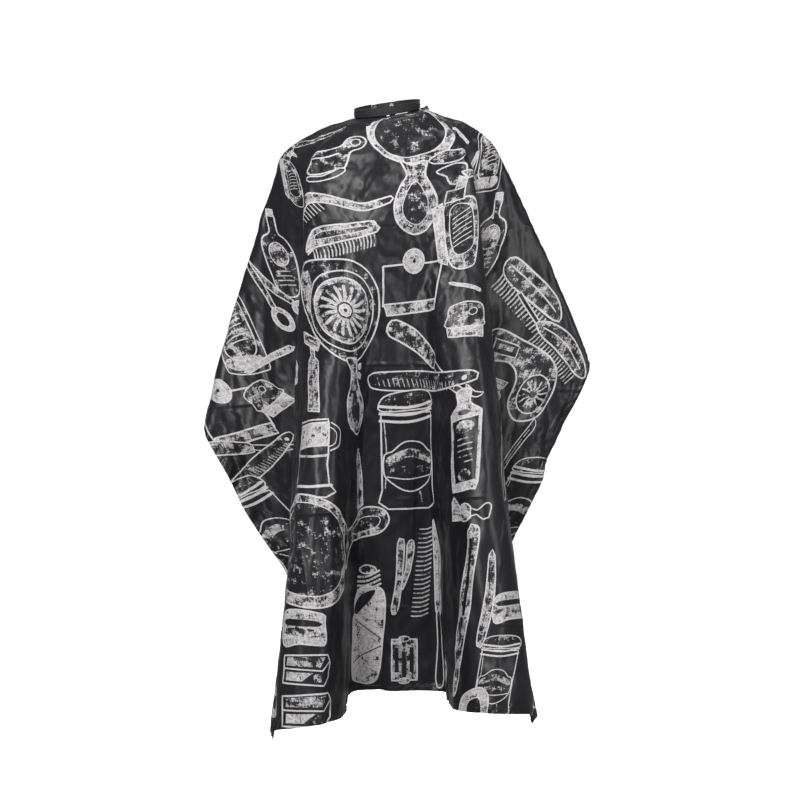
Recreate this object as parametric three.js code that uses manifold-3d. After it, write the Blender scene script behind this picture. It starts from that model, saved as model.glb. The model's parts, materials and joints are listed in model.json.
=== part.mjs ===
// Barber cape: one draped fabric panel with an elastic neckband and a snap closure at the nape.
// Millimetres. Origin at the centre of the neck seam, front towards -Y, +Z up.
import * as THREE from 'three';
import { mergeVertices } from 'three/addons/utils/BufferGeometryUtils.js';
import Module from 'manifold-3d';

// ---- panel: the flat pattern ------------------------------------------------------------
const PANEL_WIDTH = 1150;
const PANEL_LENGTH = 1385; // from the back edge to the front hem
const NOTCH_RADIUS = 175; // half-round neck notch in the middle of the back edge
const PANEL_THICKNESS = 3;
const PANEL_TOP_DROP = 2; // panel's top edge below the seam line
const HALF_HEM_STEPS = 16; // stations from the centre front to a front corner
const SIDE_STEPS = 18; // stations from a front corner to a back corner
const RADIAL_STEPS = 24;

// ---- neckband ---------------------------------------------------------------------------
const NECK_RADIUS = 67;
const NECK_TILT_FRONT = 15; // degrees, front lower
const NECK_TILT_SIDE = 8; // degrees, +X side higher
const BAND_HEIGHT = 18;
const BAND_WALL = 0.9;
const BAND_THICKNESS = 3.8;
const ELASTIC_HEIGHT = 14;
const ELASTIC_THICKNESS = 1.2;
const CLEARANCE = 0.3;
const CASING_FROM = -149; // degrees from the centre front, +X side positive
const CASING_TO = 164;
const ARC_STEP = 3; // degrees per facet of the curved strips

// ---- nape closure -----------------------------------------------------------------------
const STRAP_INNER_RADIUS = NECK_RADIUS - 3.1;
const STRAP_THICKNESS = 1.2;
const STRAP_FROM = 164.6;
const STRAP_TO = 210.6;
const STRAP_LOW = 1;
const STRAP_HIGH = 17;
const TAB_FROM = 159;
const TAB_TO = 202;
const SNAP_FIRST = 172;
const SNAP_PITCH = 10.7; // degrees, about 12 mm along the band
const STUD_COUNT = 4;
const MATED_STUDS = [1, 2]; // the studs that carry the tab's two sockets
const SNAP_RADIUS = 4.6;
const FLANGE_THICKNESS = 0.7;
const KNOB_RADIUS = 1.9;
const KNOB_HEIGHT = 1.6;
const POST_RADIUS = 1.1;
const POST_HOLE_RADIUS = 1.4;
const BACK_THICKNESS = 0.9;
const SOCKET_THICKNESS = 2.6;
const SOCKET_BORE_RADIUS = 2.5;
const SOCKET_BORE_DEPTH = 1.9;
const CAP_THICKNESS = 1.2;
const STUD_SEAT = STRAP_INNER_RADIUS + STRAP_THICKNESS + CLEARANCE;
const SOCKET_FACE = STUD_SEAT + FLANGE_THICKNESS + CLEARANCE;
const TAB_INNER_RADIUS = SOCKET_FACE + SOCKET_THICKNESS + CLEARANCE;
const ROUND_SEGMENTS = 20;

const LABEL_SIZE = [26, 0.8, 38];
const LABEL_CENTRE = [30, 50, -8];

// Drape rails. Each one is a straight ray of the flat pattern, th degrees from the centre
// front. It leaves the neck seam at azimuth az, runs over the body to a support point, and
// hangs from there with a sideways lean (x, y per unit of length).
const RAILS = [
  { th: -90, az: -178.5, support: [-4, 125, -130], lean: [0.0, 0.02] },
  { th: -72, az: -150, support: [-78, 120, -125], lean: [-0.04, 0.06] },
  { th: -54, az: -116, support: [-170, 85, -104], lean: [-0.16, 0.12] },
  { th: -39.5, az: -88, support: [-228, 4, -95], lean: [-0.31, 0.04] },
  { th: -33, az: -74, support: [-200, -38, -108], lean: [-0.17, 0.04] },
  { th: -27.5, az: -61, support: [-166, -70, -124], lean: [-0.025, 0.03] },
  { th: -22.5, az: -50, support: [-168, -92, -140], lean: [-0.043, -0.055] },
  { th: -17.5, az: -39, support: [-139, -112, -165], lean: [-0.07, -0.133] },
  { th: -15.3, az: -34, support: [-122, -121, -178], lean: [-0.048, -0.161] },
  { th: -13, az: -29, support: [-102, -129, -190], lean: [-0.02, -0.142] },
  { th: -10.5, az: -23, support: [-80, -135, -203], lean: [-0.012, -0.072] },
  { th: -7.5, az: -16, support: [-55, -139, -212], lean: [-0.03, 0.02] },
  { th: -4, az: -8.5, support: [-26, -142, -218], lean: [-0.045, 0.092] },
  { th: 0, az: 0, support: [6, -142, -219], lean: [0.016, 0.099] },
  { th: 4, az: 8.5, support: [34, -141, -217], lean: [0.082, 0.09] },
  { th: 7.5, az: 16, support: [61, -138, -211], lean: [0.066, 0.019] },
  { th: 10.5, az: 23, support: [86, -134, -201], lean: [0.05, -0.073] },
  { th: 13, az: 29, support: [109, -128, -188], lean: [0.06, -0.143] },
  { th: 15.3, az: 34, support: [130, -120, -174], lean: [0.094, -0.164] },
  { th: 17.5, az: 39, support: [148, -110, -158], lean: [0.122, -0.135] },
  { th: 22.5, az: 50, support: [182, -90, -132], lean: [0.09, -0.058] },
  { th: 28, az: 62, support: [170, -68, -114], lean: [0.07, 0.03] },
  { th: 34, az: 76, support: [206, -40, -100], lean: [0.2, 0.04] },
  { th: 43, az: 95, support: [238, 12, -88], lean: [0.415, 0.04] },
  { th: 54, az: 118, support: [182, 85, -92], lean: [0.2, 0.12] },
  { th: 72, az: 150, support: [84, 120, -118], lean: [0.05, 0.06] },
  { th: 90, az: 178.5, support: [4, 125, -128], lean: [0.0, 0.02] },
];
const SUPPORT_SLACK = 1.03; // fabric between seam and support point over the straight distance
const SUPPORT_BOW = 0.55;

const rad = THREE.MathUtils.degToRad;
const neckShift = (x, y) => y * Math.tan(rad(NECK_TILT_FRONT)) + x * Math.tan(rad(NECK_TILT_SIDE));

function ringPoint(radius, azimuth, height = 0) {
  const x = radius * Math.sin(rad(azimuth));
  const y = -radius * Math.cos(rad(azimuth));
  return new THREE.Vector3(x, y, height + neckShift(x, y));
}

// ---- smooth curve through the rails' values ------------------------------------------------
function railValue(th, pick) {
  const last = RAILS.length - 1;
  let i = 0;
  while (i < last - 1 && th > RAILS[i + 1].th) i += 1;
  const slope = (a, b) => (pick(RAILS[b]) - pick(RAILS[a])) / (RAILS[b].th - RAILS[a].th);
  const span = RAILS[i + 1].th - RAILS[i].th;
  const t = (th - RAILS[i].th) / span;
  const m0 = slope(Math.max(i - 1, 0), i + 1) * span;
  const m1 = slope(i, Math.min(i + 2, last)) * span;
  const t2 = t * t;
  const t3 = t2 * t;
  return (
    (2 * t3 - 3 * t2 + 1) * pick(RAILS[i]) +
    (t3 - 2 * t2 + t) * m0 +
    (3 * t2 - 2 * t3) * pick(RAILS[i + 1]) +
    (t3 - t2) * m1
  );
}

function railAt(th) {
  const support = [0, 1, 2].map((k) => railValue(th, (rail) => rail.support[k]));
  return {
    az: railValue(th, (rail) => rail.az),
    support: new THREE.Vector3(...support),
    lean: [0, 1].map((k) => railValue(th, (rail) => rail.lean[k])),
  };
}

function pointOnRail(rail, length) {
  const start = ringPoint(NECK_RADIUS, rail.az, -PANEL_TOP_DROP);
  const reach = start.distanceTo(rail.support) * SUPPORT_SLACK;
  const k = Math.min(length / reach, 1);
  const across = (1 - SUPPORT_BOW) * k + SUPPORT_BOW * Math.sin((k * Math.PI) / 2);
  const down = (1 - SUPPORT_BOW) * k + SUPPORT_BOW * (1 - Math.cos((k * Math.PI) / 2));
  const hang = Math.max(length - reach, 0);
  const [leanX, leanY] = rail.lean;
  const fall = Math.sqrt(1 - leanX * leanX - leanY * leanY);
  return new THREE.Vector3(
    start.x + (rail.support.x - start.x) * across + hang * leanX,
    start.y + (rail.support.y - start.y) * across + hang * leanY,
    start.z + (rail.support.z - start.z) * down - hang * fall,
  );
}

function railAngles() {
  const half = PANEL_WIDTH / 2;
  const angles = [];
  for (let i = 0; i <= HALF_HEM_STEPS; i += 1) {
    angles.push(Math.atan2((half * i) / HALF_HEM_STEPS, PANEL_LENGTH));
  }
  for (let i = 1; i <= SIDE_STEPS; i += 1) {
    angles.push(Math.atan2(half, PANEL_LENGTH * (1 - i / SIDE_STEPS)));
  }
  const mirrored = angles.slice(1).reverse().map((a) => -a);
  return mirrored.concat(angles).map(THREE.MathUtils.radToDeg);
}

function edgeDistance(th) {
  const a = rad(Math.abs(th));
  const corner = Math.atan2(PANEL_WIDTH / 2, PANEL_LENGTH);
  return a <= corner ? PANEL_LENGTH / Math.cos(a) : PANEL_WIDTH / 2 / Math.sin(a);
}

// A closed sheet of even thickness about a grid of points [row][column].
function thickSheet(grid, thickness) {
  const rows = grid.length;
  const cols = grid[0].length;
  const at = (j, i) => grid[Math.min(Math.max(j, 0), rows - 1)][Math.min(Math.max(i, 0), cols - 1)];
  const sides = [1, -1].map((sign) => {
    const points = [];
    for (let j = 0; j < rows; j += 1) {
      for (let i = 0; i < cols; i += 1) {
        const along = at(j, i + 1).clone().sub(at(j, i - 1));
        const down = at(j + 1, i).clone().sub(at(j - 1, i));
        const normal = down.cross(along).normalize();
        points.push(grid[j][i].clone().addScaledVector(normal, (sign * thickness) / 2));
      }
    }
    return points;
  });
  const points = sides[0].concat(sides[1]);
  const under = rows * cols;
  const index = [];
  const quad = (a, b, c, d) => index.push(a, b, c, a, c, d);
  for (let j = 0; j < rows - 1; j += 1) {
    for (let i = 0; i < cols - 1; i += 1) {
      const a = j * cols + i;
      quad(a, a + cols, a + cols + 1, a + 1);
      quad(under + a, under + a + 1, under + a + cols + 1, under + a + cols);
    }
  }
  const rim = [];
  for (let i = 0; i < cols - 1; i += 1) rim.push(i);
  for (let j = 0; j < rows - 1; j += 1) rim.push(j * cols + cols - 1);
  for (let i = cols - 1; i > 0; i -= 1) rim.push((rows - 1) * cols + i);
  for (let j = rows - 1; j > 0; j -= 1) rim.push(j * cols);
  rim.forEach((a, n) => {
    const b = rim[(n + 1) % rim.length];
    quad(a, b, under + b, under + a);
  });
  return indexed(points, index);
}

function indexed(points, index) {
  const geometry = new THREE.BufferGeometry();
  geometry.setAttribute('position', new THREE.Float32BufferAttribute(points.flatMap((p) => p.toArray()), 3));
  geometry.setIndex(index);
  geometry.computeVertexNormals();
  return geometry;
}

// A strip around the neck: a rectangle of radii and heights swept in azimuth. With a bore,
// a second rectangle, it is a tube that is open at both ends.
function neckStrip({ from, to, inner, outer, low, high, bore = null }) {
  const steps = Math.ceil((to - from) / ARC_STEP);
  const corners = (r0, r1, z0, z1) => [[r1, z0], [r1, z1], [r0, z1], [r0, z0]];
  const loops = [corners(inner, outer, low, high)];
  if (bore) loops.push(corners(bore.inner, bore.outer, bore.low, bore.high));
  const perStation = loops.length * 4;
  const points = [];
  for (let s = 0; s <= steps; s += 1) {
    const azimuth = from + ((to - from) * s) / steps;
    loops.flat().forEach(([r, z]) => points.push(ringPoint(r, azimuth, z)));
  }
  const index = [];
  const quad = (a, b, c, d) => index.push(a, b, c, a, c, d);
  for (let s = 0; s < steps; s += 1) {
    for (let k = 0; k < 4; k += 1) {
      const a = s * perStation + k;
      const b = s * perStation + ((k + 1) % 4);
      quad(a, a + perStation, b + perStation, b);
      if (bore) quad(a + 4, b + 4, b + 4 + perStation, a + 4 + perStation);
    }
  }
  const end = steps * perStation;
  if (bore) {
    for (let k = 0; k < 4; k += 1) {
      const next = (k + 1) % 4;
      quad(k, next, next + 4, k + 4);
      quad(end + k, end + k + 4, end + next + 4, end + next);
    }
  } else {
    quad(0, 1, 2, 3);
    quad(end, end + 3, end + 2, end + 1);
  }
  return indexed(points, index);
}

// A turned piece with its axis along +Z, stood on the band at an azimuth: +Z points outwards.
function turned(profile, radius, azimuth, height) {
  const geometry = new THREE.LatheGeometry(profile.map(([r, z]) => new THREE.Vector2(r, z)), ROUND_SEGMENTS);
  geometry.rotateX(Math.PI / 2);
  return standOnBand(geometry, radius, azimuth, height);
}

function standOnBand(geometry, radius, azimuth, height) {
  geometry.rotateX(Math.PI / 2);
  geometry.rotateZ(rad(azimuth));
  const seat = ringPoint(radius, azimuth, height);
  const centreLine = ringPoint(NECK_RADIUS, azimuth, height);
  geometry.translate(seat.x, seat.y, centreLine.z);
  return geometry;
}

// ---- booleans ---------------------------------------------------------------------------
const wasm = await Module();
wasm.setup();

function toManifold(geometry) {
  const plain = geometry.clone();
  plain.deleteAttribute('normal');
  plain.deleteAttribute('uv');
  const welded = mergeVertices(plain, 1e-4);
  return new wasm.Manifold(
    new wasm.Mesh({
      numProp: 3,
      vertProperties: new Float32Array(welded.attributes.position.array),
      triVerts: new Uint32Array(welded.index.array),
    }),
  );
}

function fromManifold(solid) {
  const mesh = solid.getMesh();
  const geometry = new THREE.BufferGeometry();
  geometry.setAttribute('position', new THREE.BufferAttribute(new Float32Array(mesh.vertProperties), 3));
  geometry.setIndex(new THREE.BufferAttribute(new Uint32Array(mesh.triVerts), 1));
  geometry.computeVertexNormals();
  return geometry;
}

function withPostHoles(strip, azimuths) {
  let solid = toManifold(strip);
  azimuths.forEach((azimuth) => {
    const drill = new THREE.CylinderGeometry(POST_HOLE_RADIUS, POST_HOLE_RADIUS, 12, ROUND_SEGMENTS);
    drill.rotateX(Math.PI / 2);
    solid = solid.subtract(toManifold(standOnBand(drill, NECK_RADIUS, azimuth, BAND_HEIGHT / 2)));
  });
  return fromManifold(solid);
}

// ---- materials --------------------------------------------------------------------------
const satin = new THREE.MeshStandardMaterial({ name: 'satin', color: 0x2b2b2e, roughness: 0.5, metalness: 0, side: THREE.DoubleSide });
const bandCloth = new THREE.MeshStandardMaterial({ name: 'band_cloth', color: 0x242426, roughness: 0.7, metalness: 0 });
const elastic = new THREE.MeshStandardMaterial({ name: 'elastic', color: 0x1b1b1d, roughness: 0.8, metalness: 0 });
const snapPlastic = new THREE.MeshStandardMaterial({ name: 'snap_plastic', color: 0x141416, roughness: 0.35, metalness: 0 });
const labelTape = new THREE.MeshStandardMaterial({ name: 'label_tape', color: 0xdedcd6, roughness: 0.8, metalness: 0 });

const cape = new THREE.Group();
cape.name = 'barber_cape';

function add(name, geometry, material) {
  const mesh = new THREE.Mesh(geometry, material.clone());
  mesh.name = name;
  cape.add(mesh);
}

// ---- panel ------------------------------------------------------------------------------
const angles = railAngles();
const panelGrid = [];
for (let j = 0; j <= RADIAL_STEPS; j += 1) {
  const share = j / RADIAL_STEPS;
  panelGrid.push(angles.map((th) => pointOnRail(railAt(th), (edgeDistance(th) - NOTCH_RADIUS) * share)));
}
add('cape_panel', thickSheet(panelGrid, PANEL_THICKNESS), satin);

// ---- neckband ---------------------------------------------------------------------------
const bandInner = NECK_RADIUS - BAND_THICKNESS / 2;
const bandOuter = NECK_RADIUS + BAND_THICKNESS / 2;
add(
  'neckband_casing',
  neckStrip({
    from: CASING_FROM,
    to: CASING_TO,
    inner: bandInner,
    outer: bandOuter,
    low: CLEARANCE,
    high: BAND_HEIGHT,
    bore: {
      inner: bandInner + BAND_WALL,
      outer: bandOuter - BAND_WALL,
      low: CLEARANCE + BAND_WALL,
      high: BAND_HEIGHT - BAND_WALL,
    },
  }),
  bandCloth,
);
const elasticLow = (BAND_HEIGHT - ELASTIC_HEIGHT) / 2;
add(
  'neck_elastic',
  neckStrip({
    from: CASING_FROM + 1,
    to: CASING_TO - 1,
    inner: NECK_RADIUS - ELASTIC_THICKNESS / 2,
    outer: NECK_RADIUS + ELASTIC_THICKNESS / 2,
    low: elasticLow,
    high: elasticLow + ELASTIC_HEIGHT,
  }),
  elastic,
);

// ---- nape closure -----------------------------------------------------------------------
const studAzimuths = Array.from({ length: STUD_COUNT }, (_, i) => SNAP_FIRST + i * SNAP_PITCH);
const socketAzimuths = MATED_STUDS.map((i) => studAzimuths[i]);
const strapSpan = { low: STRAP_LOW, high: STRAP_HIGH };
const underStrap = neckStrip({
  from: STRAP_FROM,
  to: STRAP_TO,
  inner: STRAP_INNER_RADIUS,
  outer: STRAP_INNER_RADIUS + STRAP_THICKNESS,
  ...strapSpan,
});
add('under_strap', withPostHoles(underStrap, studAzimuths), bandCloth);
const tab = neckStrip({
  from: TAB_FROM,
  to: TAB_TO,
  inner: TAB_INNER_RADIUS,
  outer: TAB_INNER_RADIUS + STRAP_THICKNESS,
  ...strapSpan,
});
add('closure_tab', withPostHoles(tab, socketAzimuths), bandCloth);

const postLength = STRAP_THICKNESS + 2 * CLEARANCE + BACK_THICKNESS - 0.1;
const studProfile = [
  [0, -postLength],
  [POST_RADIUS, -postLength],
  [POST_RADIUS, 0],
  [SNAP_RADIUS, 0],
  [SNAP_RADIUS, FLANGE_THICKNESS * 0.6],
  [SNAP_RADIUS - 0.4, FLANGE_THICKNESS],
  [KNOB_RADIUS - 0.3, FLANGE_THICKNESS],
  [KNOB_RADIUS - 0.3, FLANGE_THICKNESS + KNOB_HEIGHT * 0.4],
  [KNOB_RADIUS, FLANGE_THICKNESS + KNOB_HEIGHT * 0.6],
  [KNOB_RADIUS - 0.3, FLANGE_THICKNESS + KNOB_HEIGHT * 0.9],
  [KNOB_RADIUS - 0.8, FLANGE_THICKNESS + KNOB_HEIGHT],
  [0, FLANGE_THICKNESS + KNOB_HEIGHT],
];
const backProfile = [
  [POST_HOLE_RADIUS, 0],
  [SNAP_RADIUS - 0.4, 0],
  [SNAP_RADIUS, 0.3],
  [SNAP_RADIUS, BACK_THICKNESS],
  [POST_HOLE_RADIUS, BACK_THICKNESS],
  [POST_HOLE_RADIUS, 0],
];
const socketProfile = [
  [SOCKET_BORE_RADIUS, 0],
  [SNAP_RADIUS - 0.4, 0],
  [SNAP_RADIUS, 0.4],
  [SNAP_RADIUS, SOCKET_THICKNESS],
  [POST_HOLE_RADIUS, SOCKET_THICKNESS],
  [POST_HOLE_RADIUS, SOCKET_BORE_DEPTH],
  [SOCKET_BORE_RADIUS, SOCKET_BORE_DEPTH],
  [SOCKET_BORE_RADIUS, 0],
];
const capPost = STRAP_THICKNESS + 2 * CLEARANCE + 0.4;
const capProfile = [
  [0, -capPost],
  [POST_RADIUS, -capPost],
  [POST_RADIUS, 0],
  [SNAP_RADIUS + 0.6, 0],
  [SNAP_RADIUS + 0.6, 0.35],
  [SNAP_RADIUS - 0.4, 0.85],
  [SNAP_RADIUS - 2.2, CAP_THICKNESS],
  [0, CAP_THICKNESS],
];
const snapHeight = BAND_HEIGHT / 2;
const backSeat = STRAP_INNER_RADIUS - CLEARANCE - BACK_THICKNESS;
studAzimuths.forEach((azimuth, i) => {
  add(`snap_stud_${i + 1}`, turned(studProfile, STUD_SEAT, azimuth, snapHeight), snapPlastic);
  add(`stud_back_${i + 1}`, turned(backProfile, backSeat, azimuth, snapHeight), snapPlastic);
});
const capSeat = TAB_INNER_RADIUS + STRAP_THICKNESS + CLEARANCE;
socketAzimuths.forEach((azimuth, i) => {
  add(`snap_socket_${i + 1}`, turned(socketProfile, SOCKET_FACE, azimuth, snapHeight), snapPlastic);
  add(`snap_cap_${i + 1}`, turned(capProfile, capSeat, azimuth, snapHeight), snapPlastic);
});

// ---- label ------------------------------------------------------------------------------
const label = new THREE.BoxGeometry(...LABEL_SIZE);
label.translate(...LABEL_CENTRE);
add('care_label', label, labelTape);

export default cape;
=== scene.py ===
"""A barber cape, draped as over a dress form: printed satin panel, ruched neckband, snap tab at the nape.

Metres, in the CAD frame: origin at the centre of the neck seam, front towards -Y, +Z up.
"""
import json
import math

import bmesh
import bpy
import numpy as np
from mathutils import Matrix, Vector, geometry

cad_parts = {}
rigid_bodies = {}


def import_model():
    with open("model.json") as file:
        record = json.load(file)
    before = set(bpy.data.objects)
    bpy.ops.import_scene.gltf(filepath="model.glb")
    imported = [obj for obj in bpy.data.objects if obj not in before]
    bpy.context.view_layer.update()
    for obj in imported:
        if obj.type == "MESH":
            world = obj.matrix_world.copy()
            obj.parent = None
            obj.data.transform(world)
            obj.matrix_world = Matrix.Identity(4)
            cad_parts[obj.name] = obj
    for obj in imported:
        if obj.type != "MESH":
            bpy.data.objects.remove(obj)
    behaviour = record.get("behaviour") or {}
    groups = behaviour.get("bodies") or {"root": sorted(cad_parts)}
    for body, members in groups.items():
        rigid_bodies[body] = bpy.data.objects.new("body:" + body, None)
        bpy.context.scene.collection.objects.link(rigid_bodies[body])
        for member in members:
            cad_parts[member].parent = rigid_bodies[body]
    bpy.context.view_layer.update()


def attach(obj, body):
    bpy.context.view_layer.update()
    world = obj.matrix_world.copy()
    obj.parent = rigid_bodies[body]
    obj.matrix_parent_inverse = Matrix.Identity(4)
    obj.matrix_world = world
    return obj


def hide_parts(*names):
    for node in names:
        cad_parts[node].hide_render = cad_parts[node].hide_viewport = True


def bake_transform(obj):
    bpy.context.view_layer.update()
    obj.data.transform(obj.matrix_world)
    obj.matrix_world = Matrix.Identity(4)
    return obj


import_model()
scene = bpy.context.scene

# ---- the flat cut, metres -------------------------------------------------------------------
PANEL_WIDTH = 1.15
PANEL_LENGTH = 1.385
NOTCH_RADIUS = 0.175
NECK_RADIUS = 0.067
NECK_TILT_FRONT = math.radians(15)
NECK_TILT_SIDE = math.radians(8)
PANEL_TOP_DROP = 0.002

# Rails of the drape: flat angle and azimuth (degrees), support point (mm), lean per metre.
RAILS = np.array([
    # th, az, support x, y, z, lean x, lean y
    [-90, -178.5, -4, 125, -130, 0.0, 0.02],
    [-72, -150, -78, 120, -125, -0.04, 0.06],
    [-54, -116, -170, 85, -104, -0.16, 0.12],
    [-39.5, -88, -228, 4, -95, -0.31, 0.04],
    [-33, -74, -200, -38, -108, -0.17, 0.04],
    [-27.5, -61, -166, -70, -124, -0.025, 0.03],
    [-22.5, -50, -168, -92, -140, -0.043, -0.055],
    [-17.5, -39, -139, -112, -165, -0.07, -0.133],
    [-15.3, -34, -122, -121, -178, -0.048, -0.161],
    [-13, -29, -102, -129, -190, -0.02, -0.142],
    [-10.5, -23, -80, -135, -203, -0.012, -0.072],
    [-7.5, -16, -55, -139, -212, -0.03, 0.02],
    [-4, -8.5, -26, -142, -218, -0.045, 0.092],
    [0, 0, 6, -142, -219, 0.016, 0.099],
    [4, 8.5, 34, -141, -217, 0.082, 0.09],
    [7.5, 16, 61, -138, -211, 0.066, 0.019],
    [10.5, 23, 86, -134, -201, 0.05, -0.073],
    [13, 29, 109, -128, -188, 0.06, -0.143],
    [15.3, 34, 130, -120, -174, 0.094, -0.164],
    [17.5, 39, 148, -110, -158, 0.122, -0.135],
    [22.5, 50, 182, -90, -132, 0.09, -0.058],
    [28, 62, 170, -68, -114, 0.07, 0.03],
    [34, 76, 206, -40, -100, 0.2, 0.04],
    [43, 95, 238, 12, -88, 0.415, 0.04],
    [54, 118, 182, 85, -92, 0.2, 0.12],
    [72, 150, 84, 120, -118, 0.05, 0.06],
    [90, 178.5, 4, 125, -128, 0.0, 0.02],
])
SUPPORT_SLACK = 1.03
SUPPORT_BOW = 0.55


def rail_values(th):
    """Each column of RAILS but the first, on a smooth curve, at the flat angles th (degrees)."""
    x, v = RAILS[:, 0], RAILS[:, 1:]
    i = np.clip(np.searchsorted(x, th) - 1, 0, len(x) - 2)
    before, after = np.maximum(i - 1, 0), np.minimum(i + 2, len(x) - 1)
    span = (x[i + 1] - x[i])[:, None]
    t = (th - x[i])[:, None] / span
    m0 = (v[i + 1] - v[before]) / (x[i + 1] - x[before])[:, None] * span
    m1 = (v[after] - v[i]) / (x[after] - x[i])[:, None] * span
    return ((2 * t**3 - 3 * t**2 + 1) * v[i] + (t**3 - 2 * t**2 + t) * m0
            + (3 * t**2 - 2 * t**3) * v[i + 1] + (t**3 - t**2) * m1)


def edge_distance(th):
    """Distance from the notch's centre to the edge of the cut, along the ray at flat angle th (radians)."""
    a = np.abs(th)
    corner = math.atan2(PANEL_WIDTH / 2, PANEL_LENGTH)
    return np.where(a <= corner, PANEL_LENGTH / np.cos(a), PANEL_WIDTH / 2 / np.maximum(np.sin(a), 1e-9))


def neck_shift(x, y):
    return y * math.tan(NECK_TILT_FRONT) + x * math.tan(NECK_TILT_SIDE)


def draped(th, length):
    """Where the fabric at flat angle th (radians) and length below the neck seam hangs before it settles."""
    v = rail_values(np.degrees(th))
    az, support, lean = np.radians(v[:, 0]), v[:, 1:4] / 1000, v[:, 4:6]
    x, y = NECK_RADIUS * np.sin(az), -NECK_RADIUS * np.cos(az)
    start = np.stack([x, y, neck_shift(x, y) - PANEL_TOP_DROP], -1)
    reach = np.linalg.norm(support - start, axis=1) * SUPPORT_SLACK
    k = np.minimum(length / reach, 1)
    across = (1 - SUPPORT_BOW) * k + SUPPORT_BOW * np.sin(k * math.pi / 2)
    down = (1 - SUPPORT_BOW) * k + SUPPORT_BOW * (1 - np.cos(k * math.pi / 2))
    hang = np.maximum(length - reach, 0)
    fall = np.sqrt(1 - (lean**2).sum(1))
    step = np.stack([across, across, down], -1)
    drop = np.stack([lean[:, 0], lean[:, 1], -fall], -1)
    return start + (support - start) * step + hang[:, None] * drop


# ---- the settled drape: cloth simulation over a plain torso ---------------------------------
HALF_HEM_COLUMNS = 30
SIDE_COLUMNS = 38
ROWS = 76
SIM_FRAMES = 30

half = PANEL_WIDTH / 2
hem_u = np.linspace(0, half, HALF_HEM_COLUMNS + 1)
side_v = np.linspace(PANEL_LENGTH, 0, SIDE_COLUMNS + 1)[1:]
angles = np.concatenate([np.arctan2(hem_u, PANEL_LENGTH), np.arctan2(half, side_v)])
angles = np.concatenate([-angles[:0:-1], angles])
cut_edge = edge_distance(angles)
shares = np.linspace(0, 1, ROWS + 1)
grid_r = NOTCH_RADIUS + shares[:, None] * (cut_edge - NOTCH_RADIUS)[None]
grid_th = np.broadcast_to(angles, grid_r.shape)
start_grid = np.stack([draped(angles, row - NOTCH_RADIUS) for row in grid_r])


def mesh_object(name, points, faces):
    mesh = bpy.data.meshes.new(name)
    mesh.from_pydata(np.asarray(points, float).tolist(), [], faces)
    mesh.update()
    obj = bpy.data.objects.new(name, mesh)
    scene.collection.objects.link(obj)
    return obj


def grid_faces(rows, cols, closed=False):
    last = cols if closed else cols - 1
    return [
        (j * cols + i, j * cols + (i + 1) % cols, (j + 1) * cols + (i + 1) % cols, (j + 1) * cols + i)
        for j in range(rows - 1)
        for i in range(last)
    ]


GATHERED_LENGTH = 0.05


def flat_cone():
    """The flat cut rolled into a cone, without stretch, and drawn in at the neck to the band's size."""
    length = grid_r - NOTCH_RADIUS
    turn = 2 * grid_th
    radius = grid_r / 2 - (NOTCH_RADIUS / 2 - NECK_RADIUS) * np.exp(-length / GATHERED_LENGTH)
    slant = math.cos(math.radians(30))
    return np.stack([radius * np.sin(turn), -radius * np.cos(turn), -length * slant], -1)


# Torso sections: height, half width, half depth, forward shift, all mm.
TORSO = [
    (120, 50, 50, 0), (30, 52, 52, 0), (-5, 56, 54, 0), (-25, 86, 62, 2), (-45, 130, 76, 4),
    (-70, 172, 88, 6), (-105, 192, 98, 6), (-140, 190, 104, 2), (-180, 178, 108, -2),
    (-230, 168, 114, -8), (-280, 154, 110, -8), (-340, 140, 100, -6), (-420, 128, 92, -4),
    (-500, 146, 100, 0), (-600, 164, 104, 4), (-740, 160, 100, 6),
]
TORSO_SIDES = 48
TORSO_SHIFT = 8
SHOULDER_FOOT = -90  # above this height the sections tip with the neck

# The fabric, as the cloth simulation wants it.
FABRIC = {
    "quality": 6, "mass": 0.0008, "tension_stiffness": 25, "compression_stiffness": 25,
    "shear_stiffness": 12, "bending_stiffness": 0.25, "tension_damping": 5, "compression_damping": 5,
    "shear_damping": 5, "bending_damping": 0.5, "air_damping": 1.5, "pin_stiffness": 1.0,
}
# How firmly each point keeps near its start: a little everywhere and more towards the neck.
HOLD_FAR, HOLD_NECK, HOLD_REACH = 0.006, 0.03, 0.08


def torso():
    """A plain body under the cape while it settles; it is removed again."""
    points = []
    for z, a, b, forward in TORSO:
        for k in range(TORSO_SIDES):
            t = 2 * math.pi * k / TORSO_SIDES
            x, y = a * math.sin(t) + TORSO_SHIFT, forward - b * math.cos(t)
            lift = neck_shift(x, y) if z > SHOULDER_FOOT else 0
            points.append((x / 1000, y / 1000, (z + lift) / 1000))
    faces = grid_faces(len(TORSO), TORSO_SIDES, closed=True)
    faces.append(tuple(range(TORSO_SIDES)))
    faces.append(tuple(range((len(TORSO) - 1) * TORSO_SIDES, len(TORSO) * TORSO_SIDES)))
    obj = mesh_object("torso", points, faces)
    bm = bmesh.new()
    bm.from_mesh(obj.data)
    bmesh.ops.recalc_face_normals(bm, faces=bm.faces)
    bm.to_mesh(obj.data)
    bm.free()
    obj.modifiers.new("round", "SUBSURF").levels = 1
    obj.modifiers.new("collide", "COLLISION")
    obj.collision.thickness_outer = 0.005
    obj.collision.cloth_friction = 8
    obj.collision.damping = 0.6
    return obj


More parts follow.
